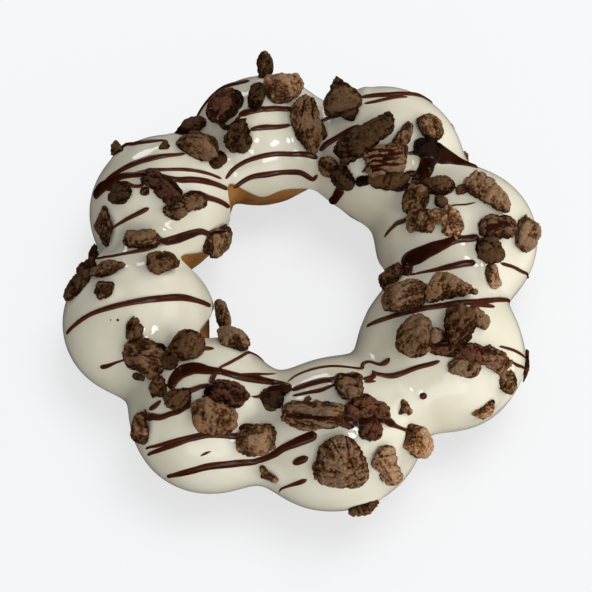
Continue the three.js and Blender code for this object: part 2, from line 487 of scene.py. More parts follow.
@dataclass(frozen=True)
class ChocolateFinish:
    """Dark chocolate, reddish where it lies thin."""

    deep: Colour = (0.0115, 0.0028, 0.0011)
    middle: Colour = (0.0250, 0.0046, 0.0015)
    thin: Colour = (0.0780, 0.0180, 0.0070)
    streaks: float = 0.22

    def material(self) -> Material:
        """Makes the material.

        Returns:
            The material.
        """
        tree = Tree(bpy.data.materials.new("dark_chocolate"))
        depth = tree.ramp(tree.attribute("relief"), (0.10, 0.42, 0.85), (self.thin, self.middle, self.deep))
        streak = tree.ramp(tree.speckle(2.6, detail=3.0), (0.34, 0.70), (self.deep, self.thin))
        tree.set(Base_Color=tree.blend(self.streaks, depth, streak))
        tree.set(Roughness=tree.span(tree.speckle(1.6, detail=3.0), low=0.10, high=0.24))
        tree.relief(tree.speckle(0.9, detail=3.0), depth=0.05, strength=0.5)
        tree.set(IOR=1.45, Specular_IOR_Level=0.34)
        return tree.owner


class Bake(Enum):
    """How dark a cookie crumb is, with the palest tone of each kind."""

    PALE = 1.0
    BROWN = 0.25
    DARK = -0.25
    COATED = 0.0


@dataclass(frozen=True)
class CrumbFinish:
    """Crushed cocoa cookie: grainy, with painted shade in the hollows and painted light on the crests.

    Attributes:
        name: of the finish.
        dark_grain_and_hollow_shade: colour of the darkest grains, and painted shade in the hollows.
        body: colour between.
        pale_grain_and_crest_light: colour of the palest grains, and painted light and sheen on the crests.
        dull: roughness, from the least to the most.
        gloss: strength of its reflections.
        grains: share of the fine grains in its colour.
        warm: tint of its warmer patches.
        cool: tint of its cooler patches.
    """

    name: str
    dark_grain_and_hollow_shade: Colour
    body: Colour
    pale_grain_and_crest_light: Colour
    dull: Pair
    gloss: float = 0.035
    grains: float = 0.40
    warm: Colour = (1.0, 0.90, 0.84)
    cool: Colour = (0.90, 0.96, 1.0)

    def material(self) -> Material:
        """Makes the material.

        Returns:
            The material.
        """
        tree = Tree(bpy.data.materials.new(self.name))
        colours = (self.dark_grain_and_hollow_shade, self.body, self.pale_grain_and_crest_light)
        # painted shade and light: the relief value darkens the hollows and pales the crests
        depth = tree.ramp(tree.attribute("relief"), (0.18, 0.50, 0.86), colours)
        grain = tree.ramp(tree.speckle(0.42, detail=3.0, rough=0.7), (0.38, 0.50, 0.64), colours)
        shade = tree.ramp(tree.attribute("tone"), (0.0, 1.0), (BLACK, WHITE))
        warmth = tree.ramp(tree.speckle(1.5, detail=2.0), (0.36, 0.64), (self.warm, self.cool))
        colour = tree.blend(1.0, tree.blend(self.grains, depth, grain), shade, "MULTIPLY")
        tree.set(Base_Color=tree.blend(1.0, colour, warmth, "MULTIPLY"))
        tree.set(Roughness=tree.span(tree.speckle(0.8), *self.dull))
        tree.relief(tree.speckle(0.30, rough=0.7), depth=0.20, strength=0.8)
        tree.set(IOR=1.45, Specular_IOR_Level=self.gloss)
        return tree.owner


# colours run from painted shade in the hollows, through the body, to painted light and sheen on the crests
CRUMB_FINISHES = {
    Bake.PALE: CrumbFinish(
        "pale_cookie", (0.012, 0.0032, 0.0007), (0.186, 0.0720, 0.0210), (0.490, 0.3130, 0.1850), (0.5, 0.8)
    ),
    Bake.BROWN: CrumbFinish(
        "brown_cookie", (0.006, 0.0015, 0.0003), (0.082, 0.0300, 0.0080), (0.268, 0.1600, 0.0880), (0.5, 0.8)
    ),
    Bake.DARK: CrumbFinish(
        "dark_cookie", (0.004, 0.0010, 0.0002), (0.044, 0.0135, 0.0032), (0.156, 0.0840, 0.0390), (0.4, 0.7)
    ),
    Bake.COATED: CrumbFinish(
        "coated_cookie", (0.002, 0.0005, 0.0002), (0.024, 0.0056, 0.0016), (0.205, 0.0790, 0.0370),
        dull=(0.2, 0.4), gloss=0.12,
    ),
}


@dataclass(frozen=True)
class FloorFinish:
    """Plain pale studio floor, bright enough to show only a faint shadow."""

    colour: Colour = (0.224, 0.227, 0.232)
    glow: Colour = (0.985, 0.992, 1.0)
    strength: float = 0.680

    def material(self) -> Material:
        """Makes the material.

        Returns:
            The material.
        """
        tree = Tree(bpy.data.materials.new("pale_floor"))
        tree.set(Base_Color=(*self.colour, 1.0), Roughness=0.9, Specular_IOR_Level=0.0)
        tree.set(Emission_Color=(*self.glow, 1.0), Emission_Strength=self.strength)
        return tree.owner


@dataclass(frozen=True)
class Piece:
    """A mesh of the doughnut that rides on its one body.

    Attributes:
        name: of the mesh.
        slot: name of its material slot in the record; not used.
        node: of the solid that it stands for, where it stands for one.
    """

    name: str
    slot: str
    node: str = ""

    def place(self, points: Array, faces: list[list[int]], material: Material, **values: Array) -> None:
        """Makes the mesh, dresses it and sets it on the body.

        Args:
            points: in metres, in the model's frame.
            faces: corners of each face.
            material: its finish.
            values: numbers carried at each point, by name.
        """
        mesh = bpy.data.meshes.new(self.name)
        mesh.from_pydata(points.tolist(), [], faces)
        mesh.polygons.foreach_set("use_smooth", np.ones(len(mesh.polygons), bool))
        for name, numbers in values.items():
            carried = mesh.attributes.new(name, "FLOAT", "POINT")
            carried.data.foreach_set("value", numbers.astype(np.float32))
        mesh.materials.append(material)
        mesh.update()
        thing = stand(self.name, mesh)
        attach(thing, BODY)
        if self.node:
            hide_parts(self.node)
        log.info("%s: %d points, %d faces", self.name, len(points), len(faces))


@dataclass
class DoughRing:
    """The ring of fried dough, uneven where it is not pressed flat."""

    ring: Ring
    columns: int = 480
    rows: int = 120
    lump: float = 0.22
    lump_size: float = 6.0
    pore: float = 0.07
    pore_size: float = 1.2
    seed: int = 4
    piece: Piece = Piece("fried_dough_ring", "fried_dough", "dough_ring")

    def build(self) -> None:
        """Makes the ring's mesh."""
        columns = np.arange(self.columns) * 360.0 / self.columns
        rows = 90.0 - np.arange(self.rows) * 360.0 / self.rows
        bearing, roll = np.meshgrid(columns, rows, indexing="ij")
        noise = Noise(self.seed)
        smooth = self.ring.point(bearing, roll, 0.0)
        lift = self.lump * noise.fractal(smooth, self.lump_size, octaves=3)
        lift += self.pore * noise.fractal(smooth, self.pore_size, octaves=2)
        points = self.ring.point(bearing, roll, lift - self.lump).reshape(-1, 3)
        points[:, 2] = np.maximum(points[:, 2], 0.0)
        faces = torus_faces(self.columns, self.rows)
        self.piece.place(self.ring.to_frame(points), faces, DoughFinish().material())


@dataclass(frozen=True)
class Edge:
    """A wavy edge of the icing.

    Attributes:
        roll: where it runs on the whole.
        waves: count round the ring, size in degrees and phase in radians of each wave.
        patches: bearing, rise and half width of each place where it stops short.
    """

    roll: float
    waves: tuple[Triple, ...]
    patches: tuple[Triple, ...] = ()

    def at(self, bearing: Array) -> Array:
        """Gives the edge's roll.

        Args:
            bearing: degrees round the hole.

        Returns:
            The roll at each bearing.
        """
        roll = np.full(bearing.shape, self.roll)
        for count, size, phase in self.waves:
            roll += size * np.sin(count * np.radians(bearing) + phase)
        for place, rise, spread in self.patches:
            away = (bearing - place + 180.0) % 360.0 - 180.0
            roll += rise * np.exp(-((away / spread) ** 2))
        return roll


@dataclass(frozen=True)
class Mould:
    """How far a crumb departs from a plain lump.

    Attributes:
        taper: narrowing towards its far end.
        waist: narrowing half way along.
        curl: bend of its ends to one side.
        peak: narrowing towards its top.
        boxy: 2 where it is round, and more where its top and sides are flatter.
        prongs: depth of the notches between three prongs.
        layers: depth of the grooves between its layers, in millimetres.
        slant: direction across those layers.
        folds: strength of its folds and dents.
        waist_reach: how far the waist reaches along.
        steady: share of its height that does not shrink where it narrows.
    """

    taper: float = 0.0
    waist: float = 0.0
    curl: float = 0.0
    peak: float = 0.0
    boxy: float = 2.0
    prongs: float = 0.0
    layers: float = 0.0
    slant: Triple = (0.45, 1.0, 0.9)
    folds: float = 1.0
    waist_reach: float = 0.35
    steady: float = 0.4

    def press(self, lump: Array) -> Array:
        """Gives the mould's form to a lump.

        Args:
            lump: points that fill a box from -1 to 1.

        Returns:
            Points that fill the same box.
        """
        fuller = np.linalg.norm(lump, axis=1) / np.linalg.norm(lump, self.boxy, axis=1)
        along, across, up = (lump * fuller[:, None]).T
        notch = 1.0 - self.prongs * (0.5 - 0.5 * np.cos(3.0 * np.arctan2(across, along)))
        narrow = 1.0 - 0.5 * self.taper * (1.0 + along)
        narrow *= 1.0 - self.waist * np.exp(-((along / self.waist_reach) ** 2))
        shrink = 1.0 - 0.5 * self.peak * (1.0 + up)
        length = along * notch * shrink
        width = across * notch * narrow * shrink + self.curl * along**2
        height = up * (self.steady + (1.0 - self.steady) * narrow)
        return fill_box(np.stack([length, width, height], 1))


class Form(Enum):
    """Shapes that the crumbs come in."""

    LUMP = Mould(boxy=2.4)
    BEAN = Mould(curl=0.35, boxy=2.3)
    PEANUT = Mould(waist=0.36, curl=0.15)
    EGG = Mould(taper=0.42, boxy=2.5)
    DROP = Mould(taper=0.66, boxy=2.2)
    WEDGE = Mould(taper=0.5, boxy=3.0)
    BLOCK = Mould(boxy=3.2)
    SLAB = Mould(boxy=3.4, layers=0.09)
    LEAF = Mould(waist=-0.7, boxy=2.2)
    PEAK = Mould(peak=0.92, boxy=4.0)
    PRONGS = Mould(prongs=0.58)
    FLAKE = Mould(boxy=2.9, layers=0.13)
    SPIKE = Mould(taper=0.86, boxy=2.0)
    DISC = Mould(taper=0.26, boxy=2.7, prongs=0.12, layers=0.10, slant=(1.15, 0.15, 0.3), folds=0.35)


@dataclass(frozen=True)
class Crumb:
    """One cookie crumb on the icing.

    Attributes:
        bearing: where it lies round the hole.
        roll: where it lies round the dough.
        length: of its long side.
        width: of its short side.
        turn: of its long side, from the ring's direction outwards.
        tone: 1 where it is palest, and less the darker it is.
        form: its shape.
        height: where that is not the usual share of its width.
        lift: how far it stands off the icing on its neighbours.
        coated: whether chocolate covers it.
        tilt: how far its far end is raised, in degrees.
    """

    USUAL_HEIGHT = 0.72

    bearing: float
    roll: float
    length: float
    width: float
    turn: float
    tone: float = 0.0
    form: Form = Form.LUMP
    height: float = 0.0
    lift: float = 0.0
    coated: bool = False
    tilt: float = 0.0

    @property
    def tall(self) -> float:
        """Its height."""
        return self.height or self.USUAL_HEIGHT * self.width

    @property
    def bake(self) -> Bake:
        """How dark it is: coated, or else the darkest kind that takes its tone."""
        kinds = [bake for bake in (Bake.DARK, Bake.BROWN, Bake.PALE) if self.tone <= bake.value]
        return Bake.COATED if self.coated else kinds[0]


CRUMBS = (
    # on the far ball
    Crumb(99, 48, 3.8, 3.2, 20, 0.3, height=6.6),
    Crumb(95, 25, 8.6, 6.6, -43, 0.6, Form.BLOCK),
    Crumb(104, 18, 7.4, 3.8, -69, -1.0, Form.BEAN),
    Crumb(114, 21, 8.6, 6.2, -30, -0.5, coated=True),
    Crumb(114, -12, 7.4, 5.8, -50, -0.8),
    Crumb(125, 38, 7.4, 4.8, 8, -0.6, coated=True),
    Crumb(128, 0, 8.8, 6.6, 42, 0.0),
    Crumb(125, -21, 4.4, 3.6, 8, -1.0),
    Crumb(137, 17, 3.0, 2.6, 39, -0.8, Form.PEAK, 2.4),
    Crumb(87, -10, 12.2, 6.4, -103, 0.0, Form.EGG, 4.3),
    Crumb(82, -15, 4.6, 3.0, -108, -0.8),
    # on the far left ball
    Crumb(144, 57, 4.2, 3.2, 140, -0.5, Form.SPIKE, 1.9, 0.7, tilt=35),
    Crumb(158, 22, 5.2, 4.6, 64, -1.0),
    Crumb(151, 1, 5.0, 4.0, 83, -0.8, coated=True),
    Crumb(152, -13, 7.4, 4.8, -70, -0.7, coated=True),
    Crumb(155, 4, 2.2, 1.9, 68, -0.4),
    Crumb(152, -30, 9.8, 4.8, 25, -0.2, Form.PEANUT),
    Crumb(167, 38, 8.6, 4.6, 6, -0.2, Form.LEAF),
    Crumb(171, -8, 7.8, 4.5, 72, 0.0),
    Crumb(154, -74, 7.8, 5.6, -7, 0.5),
    Crumb(174, 53, 4.0, 3.0, 176, -0.5, Form.EGG, 1.9, 0.7, tilt=35),
    # on the left ball
    Crumb(182, -25, 6.8, 5.8, 84, -0.3, height=3.4),
    Crumb(186, 46, 7.5, 3.8, 57, -0.7),
    Crumb(181, 40, 5.0, 4.0, 74, -0.5),
    Crumb(184, 18, 7.0, 3.8, -96, -0.2, Form.DROP),
    Crumb(191, 21, 4.4, 4.0, -70, -0.2),
    Crumb(206, 10, 5.0, 3.8, 8, -0.4, Form.BEAN),
    Crumb(215, 14, 9.2, 6.6, -23, 0.0),
    Crumb(221, -17, 6.8, 6.4, 82, -0.5),
    Crumb(220, 1, 5.8, 3.6, -4, -1.0),
    Crumb(215, 1, 3.6, 3.0, 64, -1.0),
    Crumb(217, 33, 4.2, 1.8, -35, -0.4),
    # on the near left ball
    Crumb(225, 21, 4.6, 3.8, 38, -0.1),
    Crumb(233, 17, 5.4, 4.2, -43, -0.5),
    Crumb(228, 53, 7.4, 4.8, -106, 0.2, Form.EGG),
    Crumb(245, -2, 8.8, 5.4, -9, -0.6, coated=True),
    Crumb(245, 16, 8.8, 6.8, -14, 0.2),
    Crumb(241, 8, 3.9, 3.2, -60, -1.0),
    Crumb(258, 22, 8.4, 6.2, -26, 0.6),
    Crumb(262, 58, 4.0, 3.4, 4, 0.6, Form.PRONGS),
    Crumb(231, -53, 7.4, 5.6, 5, 0.4),
    Crumb(209, -76, 8.0, 2.9, 8, 0.3, Form.BEAN, 2.7, 1.0),
    Crumb(260, -16, 6.4, 4.4, 11, -1.2, height=2.3, coated=True),
    Crumb(263, -22, 4.4, 3.0, -2, -1.4, coated=True),
    Crumb(260, -10, 3.2, 2.2, 16, -0.4),
    # on the near ball
    Crumb(274, 2, 12.4, 5.6, 15, 0.3, Form.SLAB, 4.4),
    Crumb(273, 8, 8.4, 2.6, 0, 0.5),
    Crumb(273, -10, 1.8, 1.5, -56, -0.4),
    Crumb(288, -11, 6.0, 5.6, 15, 0.0, Form.FLAKE),
    Crumb(290, 6, 6.6, 4.8, 12, -0.3, coated=True),
    Crumb(292, 0, 3.4, 2.8, 16, -0.2, coated=True),
    Crumb(295, 11, 4.2, 3.6, 38, -0.3, coated=True),
    Crumb(285, 10, 3.8, 3.6, -45, -0.6, coated=True),
    Crumb(286, 1, 2.8, 1.5, 4, -0.9, coated=True),
    Crumb(290, 19, 4.9, 4.4, 19, -0.5, coated=True),
    Crumb(280, 35, 9.9, 10.6, -83, 0.3, Form.DISC, 4.8),
    Crumb(292, 51, 9.4, 5.0, 81, 0.8, Form.PEANUT),
    Crumb(285, 91, 6.2, 3.8, 4, -0.3),
    Crumb(302, 49, 7.0, 5.8, 62, 1.0),
    Crumb(303, 16, 3.6, 3.4, -57, 1.0, Form.PRONGS),
    # on the near right ball
    Crumb(321, 67, 5.4, 3.6, -8, 1.0, Form.BEAN),
    Crumb(329, 58, 5.6, 4.4, -29, 0.6),
    Crumb(330, 36, 7.8, 5.0, 75, 0.2),
    Crumb(323, 23, 6.2, 3.8, 58, 0.3),
    Crumb(332, 4, 8.6, 6.2, -10, -0.4, Form.FLAKE),
    Crumb(338, 13, 5.4, 4.0, 106, 0.1, Form.WEDGE),
    Crumb(324, 6, 7.2, 3.8, 58, -0.3, coated=True),
    Crumb(320, -16, 8.2, 6.8, -40, 0.0),
    Crumb(322, -4, 3.4, 2.8, 54, 0.8),
    Crumb(325, -7, 3.8, 3.4, 58, 0.5),
    Crumb(335, -34, 9.0, 7.2, 68, 0.4),
    Crumb(345, -10, 9.8, 6.2, 79, 0.2, Form.SPIKE),
    Crumb(338, 84, 7.2, 1.5, 0, -0.5, Form.LEAF, 1.4, 0.3),
    # on the right ball
    Crumb(354, -59, 6.4, 5.2, 3, 0.0),
    Crumb(356, 24, 5.2, 3.6, -25, 0.8, Form.EGG),
    Crumb(28, -5, 6.4, 4.6, -50, -0.5),
    # painted shadow: this very dark coated crumb fills the dark gap between its neighbours, where their
    # shade falls
    Crumb(33, -15, 4.2, 3.0, -40, -1.4, coated=True),
    Crumb(28, -26, 6.6, 5.6, 58, 0.1),
    Crumb(17, -28, 6.0, 5.0, -62, 0.2),
    Crumb(16, -17, 4.0, 3.6, -67, 0.6),
    Crumb(12, -8, 6.4, 4.4, 16, 1.0, Form.BLOCK),
    Crumb(22, -11, 3.4, 2.6, -20, -0.4),
    Crumb(19, 22, 10.6, 5.2, 147, 0.5, Form.WEDGE),
    Crumb(23, 8, 3.2, 2.6, -79, -0.4),
    Crumb(8, 24, 8.8, 5.2, -83, -0.15, Form.FLAKE),
    Crumb(2, 18, 6.2, 5.4, -39, -0.6, Form.FLAKE),
    Crumb(8, 48, 7.4, 5.2, 15, 0.4),
    # on the far right ball
    Crumb(77, 16, 8.6, 8.6, 80, -0.2, Form.SPIKE, 4.6, 1.2, tilt=38),
    Crumb(72, 3, 4.2, 3.6, -90, -0.7),
    Crumb(63, -15, 14.2, 5.4, 123, -0.9, Form.SLAB, 4.3),
    Crumb(75, -47, 5.0, 4.3, -21, 0.0),
    Crumb(66, -49, 5.8, 5.0, 23, -1.0),
    Crumb(55, -45, 3.7, 2.8, -45, -1.4, coated=True),
    Crumb(44, -33, 8.0, 3.9, 145, -0.5, Form.BEAN),
    # painted shadow: this very dark coated crumb fills the dark gap between crumbs, where their shade falls
    Crumb(39, -30, 3.8, 2.2, -49, -1.4, coated=True),
    Crumb(51, -20, 9.2, 6.6, -49, 0.3, Form.FLAKE, 3.6),
    Crumb(51, 2, 7.0, 3.4, 75, 0.1, Form.WEDGE),
    Crumb(47, 21, 6.6, 5.2, -1, 0.5),
    Crumb(42, 8, 5.7, 5.2, -26, -2.1, coated=True),
    Crumb(44, 7, 4.2, 3.8, -38, -2.1, coated=True),
    # on the far slopes
    Crumb(50, 95, 4.4, 3.2, 30, 0.3),
    Crumb(41, 99, 4.0, 3.0, -60, 0.7),
    Crumb(126, 92, 4.4, 3.2, 50, -0.3),
    Crumb(80, 95, 4.0, 3.0, -20, 0.3),
    # specks
    Crumb(201, 18, 0.6, 0.5, 0, -0.6, lift=0.45),
    Crumb(200, 23, 0.5, 0.4, 40, -0.6, lift=0.45),
    # between the crumbs of the near right ball
    Crumb(327, 22, 6.0, 4.2, 66, -0.4, coated=True, lift=0.2),
)


@dataclass
class CrumbSeat:
    """Where a crumb lies: its middle, and its axes along, across and up."""

    ring: Ring
    crumb: Crumb
    icing: float
    sink: float = 0.55
    middle: Array = field(init=False)
    axes: Array = field(init=False)

    def __post_init__(self) -> None:
        """Works out the middle and the axes."""
        crumb = self.crumb
        lift = self.icing + crumb.tall / 2.0 - self.sink + crumb.lift
        self.middle = self.ring.point(np.array(float(crumb.bearing)), np.array(float(crumb.roll)), lift)
        up = self.ring.facing(self.middle)
        angle, turn, tilt = (math.radians(value) for value in (crumb.bearing, crumb.turn, crumb.tilt))
        across = unit(np.cross([-math.sin(angle), math.cos(angle), 0.0], up))
        level = math.cos(turn) * np.cross(up, across) + math.sin(turn) * across
        length = math.cos(tilt) * level + math.sin(tilt) * up
        top = math.cos(tilt) * up - math.sin(tilt) * level
        self.axes = np.stack([length, np.cross(top, length), top])


@dataclass
class IcingCoat:
    """The coat of icing, with a rounded lip at its edges and a fillet round the crumbs that sit in it."""

    ring: Ring
    crumbs: tuple[Crumb, ...] = CRUMBS
    height: float = 1.0
    sunk: float = -0.35
    lip: float = 7.0
    wave: float = 0.10
    wave_size: float = 9.0
    fillet: float = 0.35
    fillet_start: float = 0.85
    fillet_reach: float = 1.1
    fillet_width: float = 3.0
    columns: int = 480
    upper_rows: int = 140
    under_rows: int = 20
    seed: int = 9
    outer: Edge = Edge(112.0, ((3, 5, 0.6), (8, 4, 2.1), (13, 2, 4.0)))
    inner: Edge = Edge(
        -92.0,
        ((3, 4, 2.4), (8, 4, 0.5), (11, 2, 1.2)),
        ((126, 34, 6), (118, 12, 6), (173, 42, 9), (161, 10, 5), (205, 9, 6), (217, 44, 9)),
    )
    piece: Piece = Piece("icing", "white_icing", "icing_coat")
    tree: BVHTree | None = None

    def rise(self, points: Array) -> Array:
        """Gives how far the icing stands up round the crumbs.

        Args:
            points: on the icing's upper face.

        Returns:
            Added height at each point.
        """
        added = np.zeros(points.shape[:-1])
        for crumb in self.crumbs:
            seat = CrumbSeat(self.ring, crumb, self.height)
            local = (points - seat.middle) @ seat.axes.T
            share = np.hypot(local[..., 0] / (0.5 * crumb.length), local[..., 1] / (0.5 * crumb.width))
            away = (share - self.fillet_start) * 0.5 * crumb.width
            near = np.abs(local[..., 2]) < crumb.length
            fillet = self.fillet * min(1.0, crumb.width / self.fillet_width)
            added = np.maximum(added, near * fillet * np.exp(-((away / self.fillet_reach) ** 2)))
        return added

    def build(self) -> None:
        """Makes the coat's mesh: its upper face, then its under face."""
        columns = np.arange(self.columns) * 360.0 / self.columns
        upper = np.linspace(0.0, 1.0, self.upper_rows)
        under = np.linspace(1.0, 0.0, self.under_rows + 2)[1:-1]
        bearing, share = np.meshgrid(columns, np.concatenate([upper, under]), indexing="ij")
        start, end = self.outer.at(bearing), self.inner.at(bearing)
        roll = start + (end - start) * share
        flat = self.ring.point(bearing, roll, self.height)
        from_edge = np.clip(np.minimum(start - roll, roll - end) / self.lip, 0.0, 1.0)
        lip = np.sqrt(np.clip(1.0 - (1.0 - from_edge) ** 2, 0.0, 1.0))
        waves = self.wave * Noise(self.seed).fractal(flat, self.wave_size, octaves=2)
        level = self.sunk + (self.height + waves + self.rise(flat) - self.sunk) * lip
        level[:, self.upper_rows :] = self.sunk
        points = self.ring.point(bearing, roll, level).reshape(-1, 3)
        faces = torus_faces(self.columns, share.shape[1])
        self.tree = BVHTree.FromPolygons(points.tolist(), faces)
        self.piece.place(self.ring.to_frame(points), faces, IcingFinish().material())


@dataclass(frozen=True)
class Skin:
    """The rough face of a crumb.

    Sizes, depths and shade weights are those of its lumps, folds, wrinkles, grains and cracks in turn: how
    far apart they lie, how far they lift the face, and how far they pale it as painted light where it stands
    up and darken it as painted shade where it sinks.
    """

    sizes: tuple[float, ...] = (3.0, 2.4, 0.95, 0.55, 2.2)
    depths: tuple[float, ...] = (0.56, 0.75, 0.44, 0.36, -0.36)
    painted_shade_weights: tuple[float, ...] = (1.00, 0.85, 1.00, 1.10, -0.44)
    shifts: tuple[float, ...] = (20.0, 50.0, 31.0, 80.0)
    shrink: float = 0.20
    shade: float = 0.02
    painted_top_light: float = 0.60
    fibre_lean: Triple = (1.0, 1.0, 0.4)
    fibre_stretch: float = 0.62
    crease_level: float = 0.30
    grain_level: float = 0.55
    crack_width: float = 0.07
    pits: int = 2
    pit_size: Pair = (0.4, 0.8)
    pit_depth: float = 0.6
    pit_painted_shade: float = 0.7
    layer_pitch: float = 4.2
    layer_waver: float = 2.2
    layer_painted_shade: float = 0.16
    full_width: float = 4.5

    def rough(
        self, points: Array, ways: Array, mould: Mould, noise: Noise, draw: np.random.Generator
    ) -> tuple[Array, Array]:
        """Works out the relief of a crumb's face, and the painted shade and light that follow it.

        Args:
            points: of the smooth crumb.
            ways: directions in which it looks there.
            mould: its form.
            noise: that of its roughness.
            draw: source of random numbers.

        Returns:
            Height of the relief and how pale the painted shade and light make the face, 0 to 1, at each
            point.
        """
        fibre = unit(draw.normal(size=3) * self.fibre_lean)
        drawn = points - self.fibre_stretch * np.outer(points @ fibre, fibre)
        lump, fold, wrinkle, grain, crack = self.sizes
        crease = self.crease_level
        kinds = (
            mould.folds * noise.fractal(points, lump, octaves=2),
            mould.folds * (crease - np.abs(noise.fractal(drawn + self.shifts[0], fold, octaves=1))),
            crease - np.abs(noise.fractal(drawn + self.shifts[1], wrinkle, octaves=2)),
            self.grain_level - noise.cells(points + self.shifts[2], grain),
            np.exp(-((noise.at(drawn + self.shifts[3], crack) / self.crack_width) ** 2)),
        )
        lift = sum(depth * kind for depth, kind in zip(self.depths, kinds)) - self.shrink
        # painted shade and light: what the relief raises is paled, and the cracks it sinks are darkened
        tint = sum(shade * kind for shade, kind in zip(self.painted_shade_weights, kinds)) + self.shade
        # painted light: the crumb's upper side is paled, as if lit from above, and its sides left darker
        tint += self.painted_top_light * ways[:, 2]
        for _ in range(int(draw.integers(0, self.pits + 1))):
            pit = points[int(draw.integers(len(points)))]
            hole = np.exp(-((np.linalg.norm(points - pit, axis=1) / draw.uniform(*self.pit_size)) ** 2))
            lift -= self.pit_depth * hole
            # painted shade: each pit is darkened as well as dented
            tint -= self.pit_painted_shade * hole
        if mould.layers:
            waver = self.layer_waver * noise.at(points, fold)
            layers = np.sin(points @ np.array(mould.slant) * self.layer_pitch + waver)
            lift += mould.layers * layers
            # painted shade and light: the grooves between layers are darkened and their ridges paled
            tint += self.layer_painted_shade * layers
        return lift, np.clip(tint, 0.0, 1.0)


@dataclass
class CrumbHeap:
    """All the cookie crumbs, with one mesh for each bake.

    Pairs of numbers are the least and the most of what is drawn for each crumb.
    """

    ring: Ring
    crumbs: tuple[Crumb, ...] = CRUMBS
    skin: Skin = Skin()
    icing: float = IcingCoat.height
    coarsest: int = 3
    finer: tuple[float, ...] = (2.4, 4.6, 9.3)
    seed: int = 31
    lump_count: tuple[int, int] = (3, 5)
    lump_offset: Pair = (0.16, 0.42)
    lump_radius: Pair = (0.30, 0.54)
    dent_sharpness: float = 10.0
    chip_count: int = 9
    chip_depth: Pair = (0.60, 0.90)
    edge_on: float = 0.001
    drape: float = 22.0
    tone_rate: float = 1.1
    tone_spread: float = 0.05
    trees: list[BVHTree] = field(default_factory=list)

    @staticmethod
    def sphere(fineness: int) -> tuple[Array, Array]:
        """Gives a unit ball of near-even triangles.

        Args:
            fineness: how often its faces are split.

        Returns:
            Points, and the corners of each face.
        """
        ball = bmesh.new()
        bmesh.ops.create_icosphere(ball, subdivisions=fineness, radius=1.0)
        points = np.array([corner.co[:] for corner in ball.verts])
        faces = np.array([[corner.index for corner in face.verts] for face in ball.faces])
        ball.free()
        return points, faces

    def clump(self, ball: Array, draw: np.random.Generator) -> Array:
        """Gathers a few overlapping lumps, chipped flat here and there.

        Args:
            ball: points of a unit ball.
            draw: source of random numbers.

        Returns:
            Points that fill a box from -1 to 1.
        """
        reach = []
        for _ in range(int(draw.integers(self.lump_count[0], self.lump_count[1] + 1))):
            way = unit(draw.normal(size=3))
            offset = draw.uniform(*self.lump_offset)
            radius = offset + draw.uniform(*self.lump_radius)
            towards = ball @ way * offset
            reach.append(towards + np.sqrt(towards**2 - offset**2 + radius**2))
        total = np.log(np.exp(self.dent_sharpness * np.array(reach)).sum(0)) / self.dent_sharpness
        for _ in range(self.chip_count):
            across = ball @ unit(draw.normal(size=3))
            cut = draw.uniform(*self.chip_depth) * total.max()
            total = np.minimum(total, cut / np.maximum(across, self.edge_on))
        return fill_box(ball * total[:, None])

    def shape(
        self, crumb: Crumb, ball: Array, faces: Array, draw: np.random.Generator
    ) -> tuple[Array, Array]:
        """Makes a crumb: a chipped clump with a wrinkled, grainy skin, cracks and pits.

        Args:
            crumb: its sizes.
            ball: points of a unit ball.
            faces: corners of the ball's faces.
            draw: source of random numbers.

        Returns:
            Points about the crumb's middle, along its axes, and how pale painted shade and light make each,
            0 to 1.
        """
        noise = Noise(int(draw.integers(1 << 30)))
        mould = crumb.form.value
        half = 0.5 * np.array([crumb.length, crumb.width, crumb.tall])
        points = mould.press(self.clump(ball, draw)) * half
        points[:, 2] -= (points[:, 0] ** 2 + points[:, 1] ** 2) / (2.0 * self.drape)
        ways = self.facing(points, faces)
        lift, tint = self.skin.rough(points, ways, mould, noise, draw)
        small = min(1.0, crumb.width / self.skin.full_width)
        return points + small * lift[:, None] * ways, tint

    @staticmethod
    def facing(points: Array, faces: Array) -> Array:
        """Gives the directions in which a mesh looks at its points.

        Args:
            points: of the mesh.
            faces: corners of its triangles.

        Returns:
            Unit directions, one for each point.
        """
        first, second, third = (points[faces[:, corner]] for corner in range(3))
        sides = np.cross(second - first, third - first)
        ways = np.zeros_like(points)
        for corner in range(3):
            np.add.at(ways, faces[:, corner], sides)
        return unit(ways)

    def build(self) -> None:
        """Makes the crumbs in order, then their meshes."""
        draw = np.random.default_rng(self.seed)
        balls = [self.sphere(self.coarsest + step) for step in range(len(self.finer) + 1)]
        heaps: dict[Bake, list[tuple[Array, ...]]] = {bake: [] for bake in Bake}
        for crumb in self.crumbs:
            ball, corners = balls[sum(crumb.length > size for size in self.finer)]
            local, tint = self.shape(crumb, ball, corners, draw)
            seat = CrumbSeat(self.ring, crumb, self.icing)
            chance = draw.uniform(-self.tone_spread, self.tone_spread)
            tone = math.exp(self.tone_rate * (crumb.tone - crumb.bake.value) + chance)
            placed = seat.middle + local @ seat.axes
            heaps[crumb.bake].append((placed, corners, tint, np.full(len(local), tone)))
        for bake, crumbs in heaps.items():
            placed, corners, tints, tones = zip(*crumbs)
            starts = np.cumsum([0, *map(len, placed)])
            faces = np.concatenate([each + start for each, start in zip(corners, starts)]).tolist()
            points = np.concatenate(placed)
            # relief carries the painted shade and light of each crumb's face
            values = {"relief": np.concatenate(tints), "tone": np.concatenate(tones)}
            piece = Piece(f"{bake.name.lower()}_crumbs", "cookie_crumb")
            piece.place(self.ring.to_frame(points), faces, CRUMB_FINISHES[bake].material(), **values)
            self.trees.append(BVHTree.FromPolygons(points.tolist(), faces))


